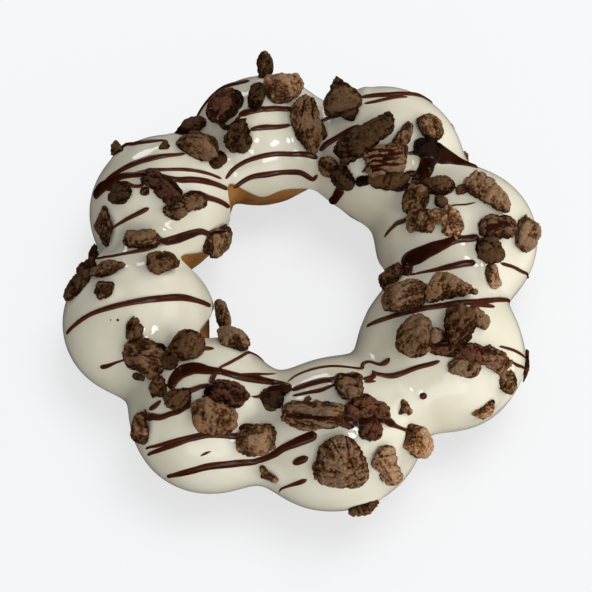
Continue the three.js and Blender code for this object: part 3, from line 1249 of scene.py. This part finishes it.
def highest(
    trees: list[BVHTree], place: Array, start: float = 80.0, slack: float = 1.5
) -> tuple[float, Vector] | None:
    """Finds the highest surface over a place.

    Args:
        trees: the surfaces.
        place: x, y and z in millimetres.
        start: height from which it looks down.
        slack: how far under the place a surface still counts.

    Returns:
        Height of the surface there and the direction in which it looks, or nothing.
    """
    found = None
    for tree in trees:
        hit, up, _, _ = tree.ray_cast(Vector((*place[:2], start)), Vector(-UP))
        if hit is not None and hit.z > place[2] - slack and (found is None or hit.z > found[0]):
            found = (hit.z, up)
    return found


class Lay(Enum):
    """What a stroke of drizzle lies on."""

    ICING = "on the icing, under the crumbs"
    CRUMBS = "over the crumbs too"


@dataclass(frozen=True)
class Stroke:
    """One stroke of chocolate.

    Attributes:
        path: where it runs, in plan, and how wide it is there.
        lay: what it lies on.
        tip: length over which each end thins out.
    """

    path: tuple[Triple, ...]
    lay: Lay = Lay.ICING
    tip: float = 1.2


STROKES = (
    # on the far left ball
    Stroke((
        (-38.1, 26.8, 0.6), (-36.1, 28.0, 1.2), (-32.9, 27.1, 1.3), (-29.6, 26.8, 1.1), (-26.4, 27.0, 0.7),
    )),
    Stroke((
        (-40.0, 16.8, 1.0), (-38.1, 18.6, 1.2), (-35.2, 19.8, 1.3), (-30.5, 21.3, 1.5), (-26.6, 22.2, 1.1),
        (-22.6, 23.1, 0.7),
    )),
    Stroke((
        (-41.2, 16.7, 2.2), (-40.1, 17.4, 3.0), (-38.1, 17.6, 2.6), (-35.1, 18.1, 1.7), (-31.0, 17.7, 1.3),
        (-27.8, 17.1, 1.2),
    )),
    Stroke((
        (-29.0, 17.4, 1.2), (-24.6, 16.7, 1.3), (-21.2, 17.3, 1.4), (-17.8, 17.9, 1.3), (-14.3, 18.5, 1),
    )),
    Stroke((
        (-33.8, 18.2, 0.6), (-30.4, 18.4, 0.8), (-26.5, 18.8, 0.8), (-22.6, 19.3, 0.8), (-18.8, 19.7, 0.8),
        (-15.5, 19.9, 0.6),
    )),
    Stroke(((-38.4, 16.5, 1.0), (-35.3, 15.6, 1.0), (-32.8, 15.3, 0.9), (-30.2, 15.2, 0.8)), Lay.CRUMBS),
    Stroke(((-37.0, 8.3, 0.4), (-34.5, 9.3, 0.8), (-31.8, 10.1, 1.0), (-29.4, 11.0, 1))),
    Stroke((
        (-22.1, 13.0, 1.4), (-20.2, 14.0, 1.5), (-18.4, 14.5, 1.4), (-16.0, 15.1, 1.2), (-14.0, 15.4, 1),
    ), Lay.CRUMBS),
    Stroke((
        (-41.1, 2.9, 0.5), (-36.9, 1.7, 0.8), (-33.7, 1.9, 0.9), (-30.6, 2.5, 1.0), (-27.6, 3.9, 1.1),
    ), Lay.CRUMBS),
    Stroke((
        (-27.7, 4.3, 1.2), (-25.8, 5.3, 1.7), (-23.5, 6.4, 2.0), (-21.2, 7.6, 1.8), (-19.3, 8.5, 1.3),
        (-17.2, 8.4, 1.0), (-15.3, 8.8, 1.0), (-13.5, 11.2, 0.9),
    ), Lay.CRUMBS),
    # on the left ball
    Stroke((
        (-45.4, -12.4, 0.7), (-43.2, -12.1, 0.9), (-39.9, -11.3, 1.0), (-35.9, -10.7, 1.1),
        (-31.2, -9.8, 1.2), (-26.5, -8.8, 1.4), (-22.5, -7.6, 1.4), (-19.8, -7.1, 1.2), (-17.3, -6.4, 0.9),
    )),
    Stroke(((-38.3, -19.9, 1.2), (-36.6, -20.0, 0.9), (-34.7, -19.8, 0.5), (-32.9, -19.6, 0.4))),
    Stroke(((-31.8, -20.6, 0.5), (-28.8, -21.0, 0.6), (-26.0, -21.3, 0.7)), Lay.CRUMBS),
    Stroke(((-19.3, -18.9, 1.1), (-17.8, -18.6, 1.2), (-16.1, -18.2, 0.8))),
    # on the near left ball
    Stroke((
        (-24.0, -27.4, 1.6), (-23.3, -25.3, 2.6), (-21.7, -23.8, 3.4), (-19.4, -23.3, 3), (-17.0, -23.8, 2),
        (-13.8, -24.0, 1.6),
    )),
    Stroke((
        (-15.3, -23.9, 1.6), (-10.7, -24.7, 1.7), (-7.4, -24.5, 1.8), (-4.4, -24.9, 1.6),
        (-1.4, -26.7, 1.2),
    )),
    Stroke(((-16.2, -27.9, 1.2), (-16.2, -25.7, 1.2), (-15.5, -24.4, 1.2)), Lay.CRUMBS),
    Stroke((
        (-22.7, -28.8, 1.0), (-20.5, -28.2, 1.1), (-18.4, -27.4, 1.1), (-16.5, -27.1, 1.1),
    ), Lay.CRUMBS),
    Stroke((
        (-15.2, -23.3, 0.6), (-13.0, -21.6, 0.7), (-10.9, -19.4, 0.7), (-9.3, -17.4, 0.7),
        (-8.0, -17.0, 0.7), (-6.8, -17.7, 0.5),
    )),
    Stroke(((-13.3, -24.6, 0.6), (-10.2, -23.9, 0.6), (-7.0, -22.9, 0.6), (-4.4, -22.0, 0.4))),
    Stroke((
        (-28.8, -31.6, 1.6), (-27.5, -31.7, 1.4), (-25.9, -32.1, 1.2), (-23.9, -31.9, 1.1),
        (-21.7, -31.7, 1), (-19.6, -31.1, 0.6),
    ), Lay.CRUMBS),
    Stroke(((-28.1, -30.3, 1.0), (-26.9, -29.9, 1.1), (-25.7, -29.2, 0.8))),
    Stroke((
        (-28.8, -36.8, 0.6), (-26.4, -37.1, 0.9), (-23.6, -37.0, 1.0), (-20.2, -36.4, 1.1),
        (-17.2, -36.0, 1.2), (-14.3, -35.9, 1.2), (-11.3, -35.8, 1.2), (-9.9, -35.5, 0.8),
    )),
    Stroke((
        (-29.1, -36.0, 0.5), (-26.4, -36.4, 0.7), (-23.6, -36.4, 0.8), (-20.5, -36.1, 0.8),
        (-17.2, -35.6, 0.7),
    )),
    Stroke(((-11.3, -34.6, 1.2), (-9.9, -34.2, 1.4), (-8.2, -33.9, 1.2))),
    Stroke((
        (-25.1, -40.4, 0.8), (-22.8, -40.8, 1.2), (-20.0, -40.8, 1.4), (-17.0, -40.4, 1.6),
        (-13.6, -40.0, 1.6), (-10.3, -39.4, 1.5), (-7.3, -39.0, 1.3),
    )),
    Stroke((
        (-8.8, -39.1, 1.3), (-5.1, -38.6, 1.4), (-3.0, -37.9, 1.6), (-0.8, -37.4, 1.9), (1.2, -36.9, 2),
        (3.2, -36.4, 1.9),
    )),
    Stroke(((-18.4, -39.0, 0.4), (-17.3, -38.6, 0.5), (-16.3, -38.3, 0.3))),
    # on the near ball
    Stroke(((-4.0, -43.1, 0.4), (-2.1, -43.3, 0.7), (-0.1, -43.3, 1.0), (1.4, -43.1, 0.9))),
    Stroke(((-1.3, -40.6, 1.1), (0.1, -40.3, 1.5), (1.6, -40.0, 1.2))),
    Stroke((
        (-1.5, -27.4, 1.2), (0.1, -26.8, 1.4), (2.4, -26.2, 1.4), (4.8, -25.8, 1.3), (6.8, -25.9, 1.2),
        (9.3, -26.3, 1.2), (11.6, -25.9, 1.2),
    ), Lay.CRUMBS),
    Stroke(((11.7, -25.4, 1.1), (13.2, -25.0, 1.2), (14.0, -23.9, 1.2), (13.7, -22.9, 1))),
    Stroke((
        (13.5, -23.2, 0.8), (14.8, -23.8, 1.1), (17.0, -23.9, 1.2), (19.3, -23.3, 1.1), (21.7, -22.7, 1),
        (24.5, -22.3, 1.0), (26.3, -21.9, 0.8),
    )),
    Stroke(((-1.4, -28.5, 0.6), (1.1, -28.3, 0.8), (3.8, -28.0, 0.9), (6.6, -27.0, 0.7))),
    Stroke((
        (-9.1, -28.4, 0.4), (-8.0, -28.4, 0.6), (-6.7, -28.0, 1.1), (-5.4, -27.2, 1.7), (-3.9, -26.9, 1.7),
        (-2.4, -27.2, 1.3), (-1.1, -27.0, 0.8),
    ), Lay.CRUMBS),
    Stroke(((12.0, -26.1, 0.8), (14.3, -25.5, 0.5))),
    Stroke((
        (-2.3, -25.0, 0.5), (-0.6, -23.6, 0.7), (2.4, -22.6, 0.7), (6.0, -22.2, 0.7), (9.8, -22.6, 0.6),
        (11.6, -22.7, 0.8), (12.0, -21.3, 0.8), (13.2, -20.7, 0.8), (14.9, -21.3, 0.8), (16.0, -21.1, 1.2),
        (17.1, -20.2, 1.0),
    )),
    Stroke((
        (-3.0, -33.3, 0.8), (-0.2, -33.9, 0.9), (2.3, -34.5, 1.0), (4.9, -35.0, 1.0), (7.4, -34.9, 0.8),
    ), Lay.CRUMBS),
    Stroke(((8.0, -34.3, 1.4), (10.1, -34.7, 1.6), (12.5, -34.6, 1.8), (14.8, -34.2, 1.8)), Lay.CRUMBS),
    Stroke((
        (14.4, -33.8, 1.6), (16.6, -33.6, 1.7), (17.9, -33.9, 0.8), (20.2, -34.3, 0.7), (21.5, -34.8, 0.8),
    ), Lay.CRUMBS),
    Stroke(((22.5, -27.2, 1.5), (24.0, -27.2, 1.5))),
    # on the near right ball
    Stroke((
        (12.9, -11.8, 0.7), (15.4, -12.1, 1.0), (18.2, -12.3, 1.1), (20.9, -12.1, 1.2), (23.9, -11.7, 1.2),
        (27.7, -11.2, 1.2),
    )),
    Stroke((
        (26.5, -11.4, 1.2), (30.8, -10.6, 1.4), (34.4, -9.6, 1.3), (38.6, -7.4, 1.2), (41.4, -4.9, 0.9),
    )),
    Stroke(((32.3, -10.9, 1.0), (34.7, -10.4, 1.0), (37.4, -9.9, 0.7))),
    Stroke(((37.6, -18.3, 0.5), (40.5, -17.8, 0.6), (42.6, -17.4, 0.6), (44.0, -16.6, 0.5))),
    Stroke(((40.0, -20.2, 0.6), (41.9, -19.8, 0.7), (44.0, -18.4, 0.5))),
    Stroke((
        (23.2, -19.9, 0.7), (25.4, -19.9, 0.9), (27.9, -19.9, 0.9), (30.2, -20.1, 0.9), (31.7, -20.5, 0.8),
    ), Lay.CRUMBS),
    Stroke(((31.7, -20.7, 0.9), (33.6, -20.5, 1.1), (35.8, -20.7, 1.0), (38.0, -21.0, 0.8)), Lay.CRUMBS),
    # on the right ball
    Stroke((
        (20.3, 0.0, 2.2), (21.2, 1.0, 3.4), (23.1, 1.3, 3.6), (25.3, 1.9, 2.8), (27.8, 2.5, 2.2),
        (30.2, 3.1, 1.8), (32.6, 3.4, 1.6), (34.7, 3.7, 1.4),
    )),
    Stroke(((21.1, -2.6, 2.0), (21.0, -0.7, 2.8), (21.6, 0.5, 3))),
    Stroke((
        (21.1, -2.3, 0.6), (23.7, -2.3, 0.7), (26.4, -2.1, 1.0), (29.1, -1.6, 1.3), (31.8, -1.0, 1.4),
        (34.1, -0.7, 1.4),
    )),
    Stroke(((39.0, -0.0, 0.7), (41.6, 0.3, 0.8), (44.0, 0.7, 0.7), (46.2, 2.0, 0.5))),
    Stroke((
        (16.8, 7.6, 0.5), (17.9, 8.3, 0.8), (19.4, 8.9, 1.0), (21.0, 8.6, 1.0), (22.4, 8.4, 0.8),
        (24.1, 8.8, 0.8), (25.6, 9.2, 0.7),
    ), Lay.CRUMBS),
    Stroke(((28.5, 9.7, 0.4), (30.4, 10.0, 0.4), (32.3, 10.2, 0.4), (34.3, 10.7, 0.3))),
    Stroke(((35.2, 3.6, 1.1), (37.3, 4.6, 1.9), (39.4, 5.4, 1.7), (41.5, 6.3, 0.9)), Lay.CRUMBS),
    # on the far right ball
    Stroke(((4.2, 31.9, 1.0), (6.2, 32.9, 1.1), (7.8, 33.3, 1))),
    Stroke(((4.0, 26.0, 1.0), (5.8, 26.9, 1.3), (7.8, 27.5, 1.2), (10.1, 28.2, 1.0), (12.1, 28.6, 0.8))),
    Stroke(((6.4, 18.7, 1.4), (7.3, 18.2, 1.8), (8.5, 18.6, 2.2)), tip=0.8),
    Stroke((
        (12.3, 35.8, 0.9), (14.7, 36.2, 1.3), (17.9, 36.3, 1.4), (21.2, 37.2, 1.3), (24.7, 38.3, 1.2),
        (27.5, 38.1, 0.8),
    )),
    Stroke(((13.0, 34.0, 0.7), (15.8, 34.4, 0.9), (19.1, 35.4, 0.8), (22.0, 36.3, 0.5))),
    Stroke(((12.2, 21.5, 0.5), (14.6, 21.9, 0.8), (17.0, 21.6, 0.7), (20.1, 22.1, 0.4)), Lay.CRUMBS),
    Stroke(((12.9, 20.6, 0.6), (15.3, 20.9, 0.8), (18.2, 20.7, 0.9), (20.6, 21.3, 0.5)), Lay.CRUMBS),
    Stroke(((12.3, 19.5, 0.5), (14.5, 19.9, 0.9), (17.4, 19.8, 0.8), (19.2, 20.2, 0.5)), Lay.CRUMBS),
    Stroke(((13.0, 18.7, 0.6), (15.4, 19.0, 0.9), (18.4, 18.9, 0.8), (20.8, 19.4, 0.4)), Lay.CRUMBS),
    Stroke(((13.3, 17.9, 0.5), (15.2, 18.2, 0.7), (17.6, 18.0, 0.4)), Lay.CRUMBS),
    Stroke(((25.6, 23.6, 3.4), (28.1, 23.4, 4.6), (30.6, 23.2, 4.2), (33.0, 22.6, 3.0), (35.8, 21.5, 1.2))),
    # painted shadow: this wide stroke over the crumbs darkens the gap between them, where their shade falls
    Stroke((
        (22.9, 14.2, 2.4), (23.5, 16.0, 3.4), (24.2, 17.8, 3.6), (25.0, 19.6, 3.4), (25.8, 21.4, 3.0),
    ), Lay.CRUMBS),
    Stroke(((20.4, 18.4, 0.8), (21.8, 18.6, 1.5), (23.4, 18.9, 1.4))),
    Stroke(((17.6, 16.3, 1.0), (19.6, 16.2, 1.6), (21.6, 15.9, 1.8), (23.2, 14.9, 1.6))),
    Stroke(((20.9, 22.2, 0.5), (22.8, 22.6, 0.9), (24.2, 22.9, 0.9))),
    # on the far ball
    Stroke((
        (-21.7, 36.4, 0.8), (-20.4, 38.8, 1.1), (-18.6, 41.0, 1.3), (-16.0, 41.9, 1.4), (-13.0, 41.5, 1.4),
        (-10.1, 41.6, 1.2),
    )),
    Stroke(((-18.2, 33.1, 1.0), (-15.8, 30.4, 1.3), (-13.4, 29.8, 1.1), (-11.9, 31.9, 1.0)), Lay.CRUMBS),
    Stroke((
        (-12.3, 32.0, 1.2), (-9.9, 32.6, 1.5), (-7.5, 33.0, 1.3), (-4.7, 33.4, 1.2), (-1.5, 33.7, 1.3),
    )),
    Stroke(((-9.9, 28.6, 0.9), (-7.5, 29.2, 1.1), (-4.7, 29.5, 1.0), (-1.7, 30.2, 0.8))),
    Stroke((
        (-14.9, 20.2, 0.7), (-13.6, 22.0, 1.0), (-11.7, 23.1, 1.0), (-8.7, 23.9, 1.0), (-5.1, 24.6, 1.1),
        (-1.5, 25.1, 1.1), (1.8, 25.4, 1.2), (3.8, 25.0, 1.2),
    )),
    Stroke((
        (-13.4, 19.3, 0.8), (-11.6, 20.5, 1.1), (-9.5, 21.2, 1.2), (-6.3, 21.6, 1.2), (-2.7, 22.3, 1.2),
        (0.1, 22.8, 1.2), (1.8, 22.6, 1.1), (2.8, 22.3, 1.0), (3.8, 22.6, 0.8),
    )),
)


@dataclass
class Drizzle:
    """The strokes of chocolate, as one mesh of flattened beads that lie over the icing and the crumbs."""

    ring: Ring
    coat: IcingCoat
    heap: CrumbHeap
    strokes: tuple[Stroke, ...] = STROKES
    curve_steps: int = 40
    step: float = 0.35
    least_steps: int = 12
    sides: int = 14
    flatness: float = 0.40
    thickness: float = 0.55
    belly: float = 0.6
    crumb_spread: float = 0.5
    uneven: float = 0.18
    uneven_size: float = 3.5
    blunt_tip: float = 0.004
    smoothing: tuple[float, ...] = (0.2, 0.6, 1.0, 0.6, 0.2)
    crumb_lean: float = 0.5
    depth_rate: float = 0.25
    depth_over_crumbs: float = 0.3
    seed: int = 12
    piece: Piece = Piece("chocolate_drizzle", "chocolate_drizzle")

    def path(self, stroke: Stroke) -> Array:
        """Runs a smooth line through a stroke's points.

        Args:
            stroke: what is drawn.

        Returns:
            Even steps along the line, in plan, and the width at each.
        """
        corners = np.array(stroke.path)
        first, last = 2 * corners[0] - corners[1], 2 * corners[-1] - corners[-2]
        padded = np.vstack([first, corners, last])
        share = np.linspace(0.0, 1.0, self.curve_steps, endpoint=False)[:, None]
        spans = []
        for before, start, end, after in zip(padded, padded[1:], padded[2:], padded[3:]):
            bend = 2 * before - 5 * start + 4 * end - after
            twist = 3 * start - before - 3 * end + after
            spans.append(start + 0.5 * ((end - before) * share + bend * share**2 + twist * share**3))
        line = np.concatenate([*spans, corners[-1:]])
        way = run(line[:, :2])
        even = np.linspace(0.0, way[-1], max(self.least_steps, int(way[-1] / self.step)))
        return np.stack([np.interp(even, way, values) for values in line.T], 1)

    def lie(self, stroke: Stroke, plan: Array) -> tuple[Array, Array, Array]:
        """Lays a line down on what is under it.

        Args:
            stroke: what is laid.
            plan: its line.

        Returns:
            Places on the surface, the directions in which it looks there, and 1 where it is a crumb's.
        """
        places = self.ring.drop(plan, self.coat.height)
        ups = self.ring.facing(places)
        over = np.zeros(len(places))
        for place in places:
            icing = highest([self.coat.tree], place)
            place[2] = place[2] if icing is None else icing[0]
        if stroke.lay is Lay.CRUMBS:
            for index, place in enumerate(places):
                crumb = highest(self.heap.trees, place)
                if crumb is not None and crumb[0] > place[2]:
                    over[index] = 1.0
                    places[index, 2] = crumb[0]
                    ups[index] = self.crumb_lean * np.array(crumb[1]) + UP
            kernel = np.array(self.smoothing) / sum(self.smoothing)
            for values in (places[:, 2], over, *ups.T):
                values[:] = np.convolve(np.pad(values, len(kernel) // 2, mode="edge"), kernel, mode="valid")
        return places, unit(ups), over

    def bead(self, stroke: Stroke, noise: Noise) -> tuple[Array, list[list[int]], Array]:
        """Makes one stroke.

        Args:
            stroke: what is made.
            noise: unevenness of its width.

        Returns:
            Points, the corners of each face, and how thick the chocolate is at each point, from 0 to 1.
        """
        line = self.path(stroke)
        places, ups, over = self.lie(stroke, line[:, :2])
        way = run(places)
        width = line[:, 2] * (1.0 + self.uneven * noise.fractal(places, self.uneven_size, octaves=2))
        from_end = np.minimum(way, way[-1] - way) / min(stroke.tip, 0.5 * way[-1])
        width = width * np.sqrt(1.0 - (1.0 - np.clip(from_end, self.blunt_tip, 1.0)) ** 2)
        across = unit(np.cross(np.gradient(places, axis=0), ups))
        angles = np.arange(self.sides) * 2.0 * math.pi / self.sides
        out = np.cos(angles)[None, :, None] * (0.5 * width)[:, None, None] * across[:, None, :]
        rise = np.where(np.sin(angles) > 0.0, 1.0, self.belly) * np.sin(angles)
        tall = np.minimum(self.flatness * width, self.thickness) * (1.0 - self.crumb_spread * over)
        lift = rise[None, :, None] * tall[:, None, None] * ups[:, None, :]
        points = (places[:, None, :] + out + lift).reshape(-1, 3)
        depth = self.depth_rate * width[:, None] * np.maximum(np.sin(angles), 0.0)
        depth += self.depth_over_crumbs * over[:, None]
        tube = torus_faces(len(places), self.sides)[: -self.sides]
        first = list(range(self.sides))
        last = list(reversed(range(len(points) - self.sides, len(points))))
        return points, [*tube, first, last], np.clip(depth, 0.0, 1.0).reshape(-1)

    def build(self) -> None:
        """Makes the drizzle's mesh, stroke by stroke."""
        noise = Noise(self.seed)
        points: list[Array] = []
        depths: list[Array] = []
        faces: list[list[int]] = []
        count = 0
        for stroke in self.strokes:
            bead, corners, depth = self.bead(stroke, noise)
            points.append(bead)
            depths.append(depth)
            faces.extend([corner + count for corner in face] for face in corners)
            count += len(bead)
        placed = self.ring.to_frame(np.concatenate(points))
        self.piece.place(placed, faces, ChocolateFinish().material(), relief=np.concatenate(depths))


class Reach(Enum):
    """What a light falls on, by how the floor counts for it."""

    DOUGHNUT = "EXCLUDE"
    FLOOR = "INCLUDE"


@dataclass(frozen=True)
class SoftLight:
    """A soft light that looks at the doughnut.

    Attributes:
        name: of the light.
        place: in metres.
        width: in metres.
        height: in metres.
        power: in watts.
        reach: what it falls on.
        mirrored: whether the gloss shows it.
        aim: what it looks at, in metres.
    """

    name: str
    place: Triple
    width: float
    height: float
    power: float
    reach: Reach = Reach.DOUGHNUT
    mirrored: bool = True
    aim: Triple = (0.0, 0.0, 0.012)

    def build(self, floor: Thing) -> None:
        """Hangs the light.

        Args:
            floor: which the light falls on or leaves out.
        """
        lamp = bpy.data.lights.new(self.name, "AREA")
        lamp.shape = "RECTANGLE"
        lamp.size = self.width
        lamp.size_y = self.height
        lamp.energy = self.power
        thing = stand(self.name, lamp)
        thing.location = self.place
        thing.rotation_euler = (Vector(self.aim) - thing.location).to_track_quat("-Z", "Y").to_euler()
        thing.visible_glossy = self.mirrored
        group = bpy.data.collections.new(f"{self.name}_reach")
        group.objects.link(floor)
        group.collection_objects[0].light_linking.link_state = self.reach.value
        thing.light_linking.receiver_collection = group


@dataclass
class Studio:
    """The floor, the lights and the camera.

    Attributes:
        floor_size: side of the floor in metres.
        elevation: of the camera over the floor, in degrees.
        distance: from the camera to what it looks at, in millimetres.
        aim: what the camera looks at, in millimetres.
        lens: focal length in millimetres.
        sensor: width of the camera's sensor in millimetres.
        clip: nearest distance that the camera sees, in metres.
        bright: direction of the bright side of the room.
        turn: how far round from there the dark side begins, as a cosine.
        dim: light of the room's dark side.
        clear: light of its bright side.
        lights: the lamps.
    """

    floor_size: float = 12.0
    elevation: float = 66.0
    distance: float = 330.0
    aim: Triple = (-1.16, -1.49, 11.85)
    lens: float = 100.1
    sensor: float = 36.0
    clip: float = 0.01
    bright: Triple = (0.55, -0.5, 0.67)
    turn: float = -0.6
    dim: float = 0.35
    clear: float = 0.69
    lights: tuple[SoftLight, ...] = (
        SoftLight("near_window", (0.12, -0.385, 0.295), 0.20, 0.06, 0.30),
        SoftLight("near_fill", (0.0, -0.46, 0.16), 0.50, 0.16, 0.46),
        SoftLight("near_left_fill", (-0.24, -0.40, 0.16), 0.28, 0.20, 0.04),
        SoftLight("right_window", (0.38, -0.20, 0.16), 0.44, 0.34, 0.98, mirrored=False),
        SoftLight("far_right_window", (0.40, 0.20, 0.17), 0.40, 0.30, 1.18, mirrored=False),
        SoftLight("high_right_window", (0.33, 0.06, 0.33), 0.24, 0.20, 0.17),
        SoftLight("lamp", (0.175, -0.20, 0.432), 0.09, 0.055, 0.28),
        SoftLight("far_fill", (-0.157, 0.408, 0.115), 0.20, 0.11, 0.32),
        SoftLight("floor_light", (0.22, 0.20, 0.95), 0.45, 0.45, 6.0, Reach.FLOOR),
    )

    def floor(self) -> Thing:
        """Lays the floor, which is no part of the doughnut and throws no light back at it.

        Returns:
            The floor.
        """
        half = 0.5 * self.floor_size
        corners = [(-half, -half, 0), (half, -half, 0), (half, half, 0), (-half, half, 0)]
        mesh = bpy.data.meshes.new("floor")
        mesh.from_pydata(corners, [], [[0, 1, 2, 3]])
        mesh.materials.append(FloorFinish().material())
        thing = stand("floor", mesh)
        thing.visible_diffuse = False
        thing.visible_glossy = False
        return thing

    def sky(self) -> None:
        """Makes the room's soft light, brighter on one side."""
        world = bpy.data.worlds.new("studio")
        tree = Tree(world, "Background")
        share = tree.add("ShaderNodeVectorMath", operation="DOT_PRODUCT")
        tree.feed(share.inputs[0], tree.add("ShaderNodeTexCoord").outputs["Generated"])
        tree.feed(share.inputs[1], self.bright)
        strength = tree.add(
            "ShaderNodeMapRange", interpolation_type="SMOOTHSTEP", value=share.outputs["Value"],
            from_min=self.turn, to_min=self.dim, to_max=self.clear,
        )
        tree.set(Color=(*WHITE, 1.0), Strength=strength.outputs["Result"])
        world.cycles_visibility.glossy = False
        bpy.context.scene.world = world

    def camera(self) -> None:
        """Sets up the camera at the photograph's viewing angle."""
        tilt = math.radians(self.elevation)
        back = Vector((0.0, -math.cos(tilt), math.sin(tilt)))
        lens = bpy.data.cameras.new("camera")
        lens.lens = self.lens
        lens.sensor_width = self.sensor
        lens.clip_start = self.clip
        thing = stand("camera", lens)
        thing.location = (Vector(self.aim) + self.distance * back) * MM
        thing.rotation_euler = back.to_track_quat("Z", "Y").to_euler()
        bpy.context.scene.camera = thing

    def build(self) -> None:
        """Builds the studio."""
        bpy.context.scene.view_settings.view_transform = "Standard"
        self.sky()
        floor = self.floor()
        for light in self.lights:
            light.build(floor)
        self.camera()


def main() -> None:
    """Builds the doughnut and the studio round it."""
    logging.basicConfig(level=logging.INFO, format="%(name)s: %(message)s")
    ring = Ring()
    DoughRing(ring).build()
    coat = IcingCoat(ring)
    coat.build()
    heap = CrumbHeap(ring)
    heap.build()
    Drizzle(ring, coat, heap).build()
    Studio().build()


if __name__ == "__main__":
    main()
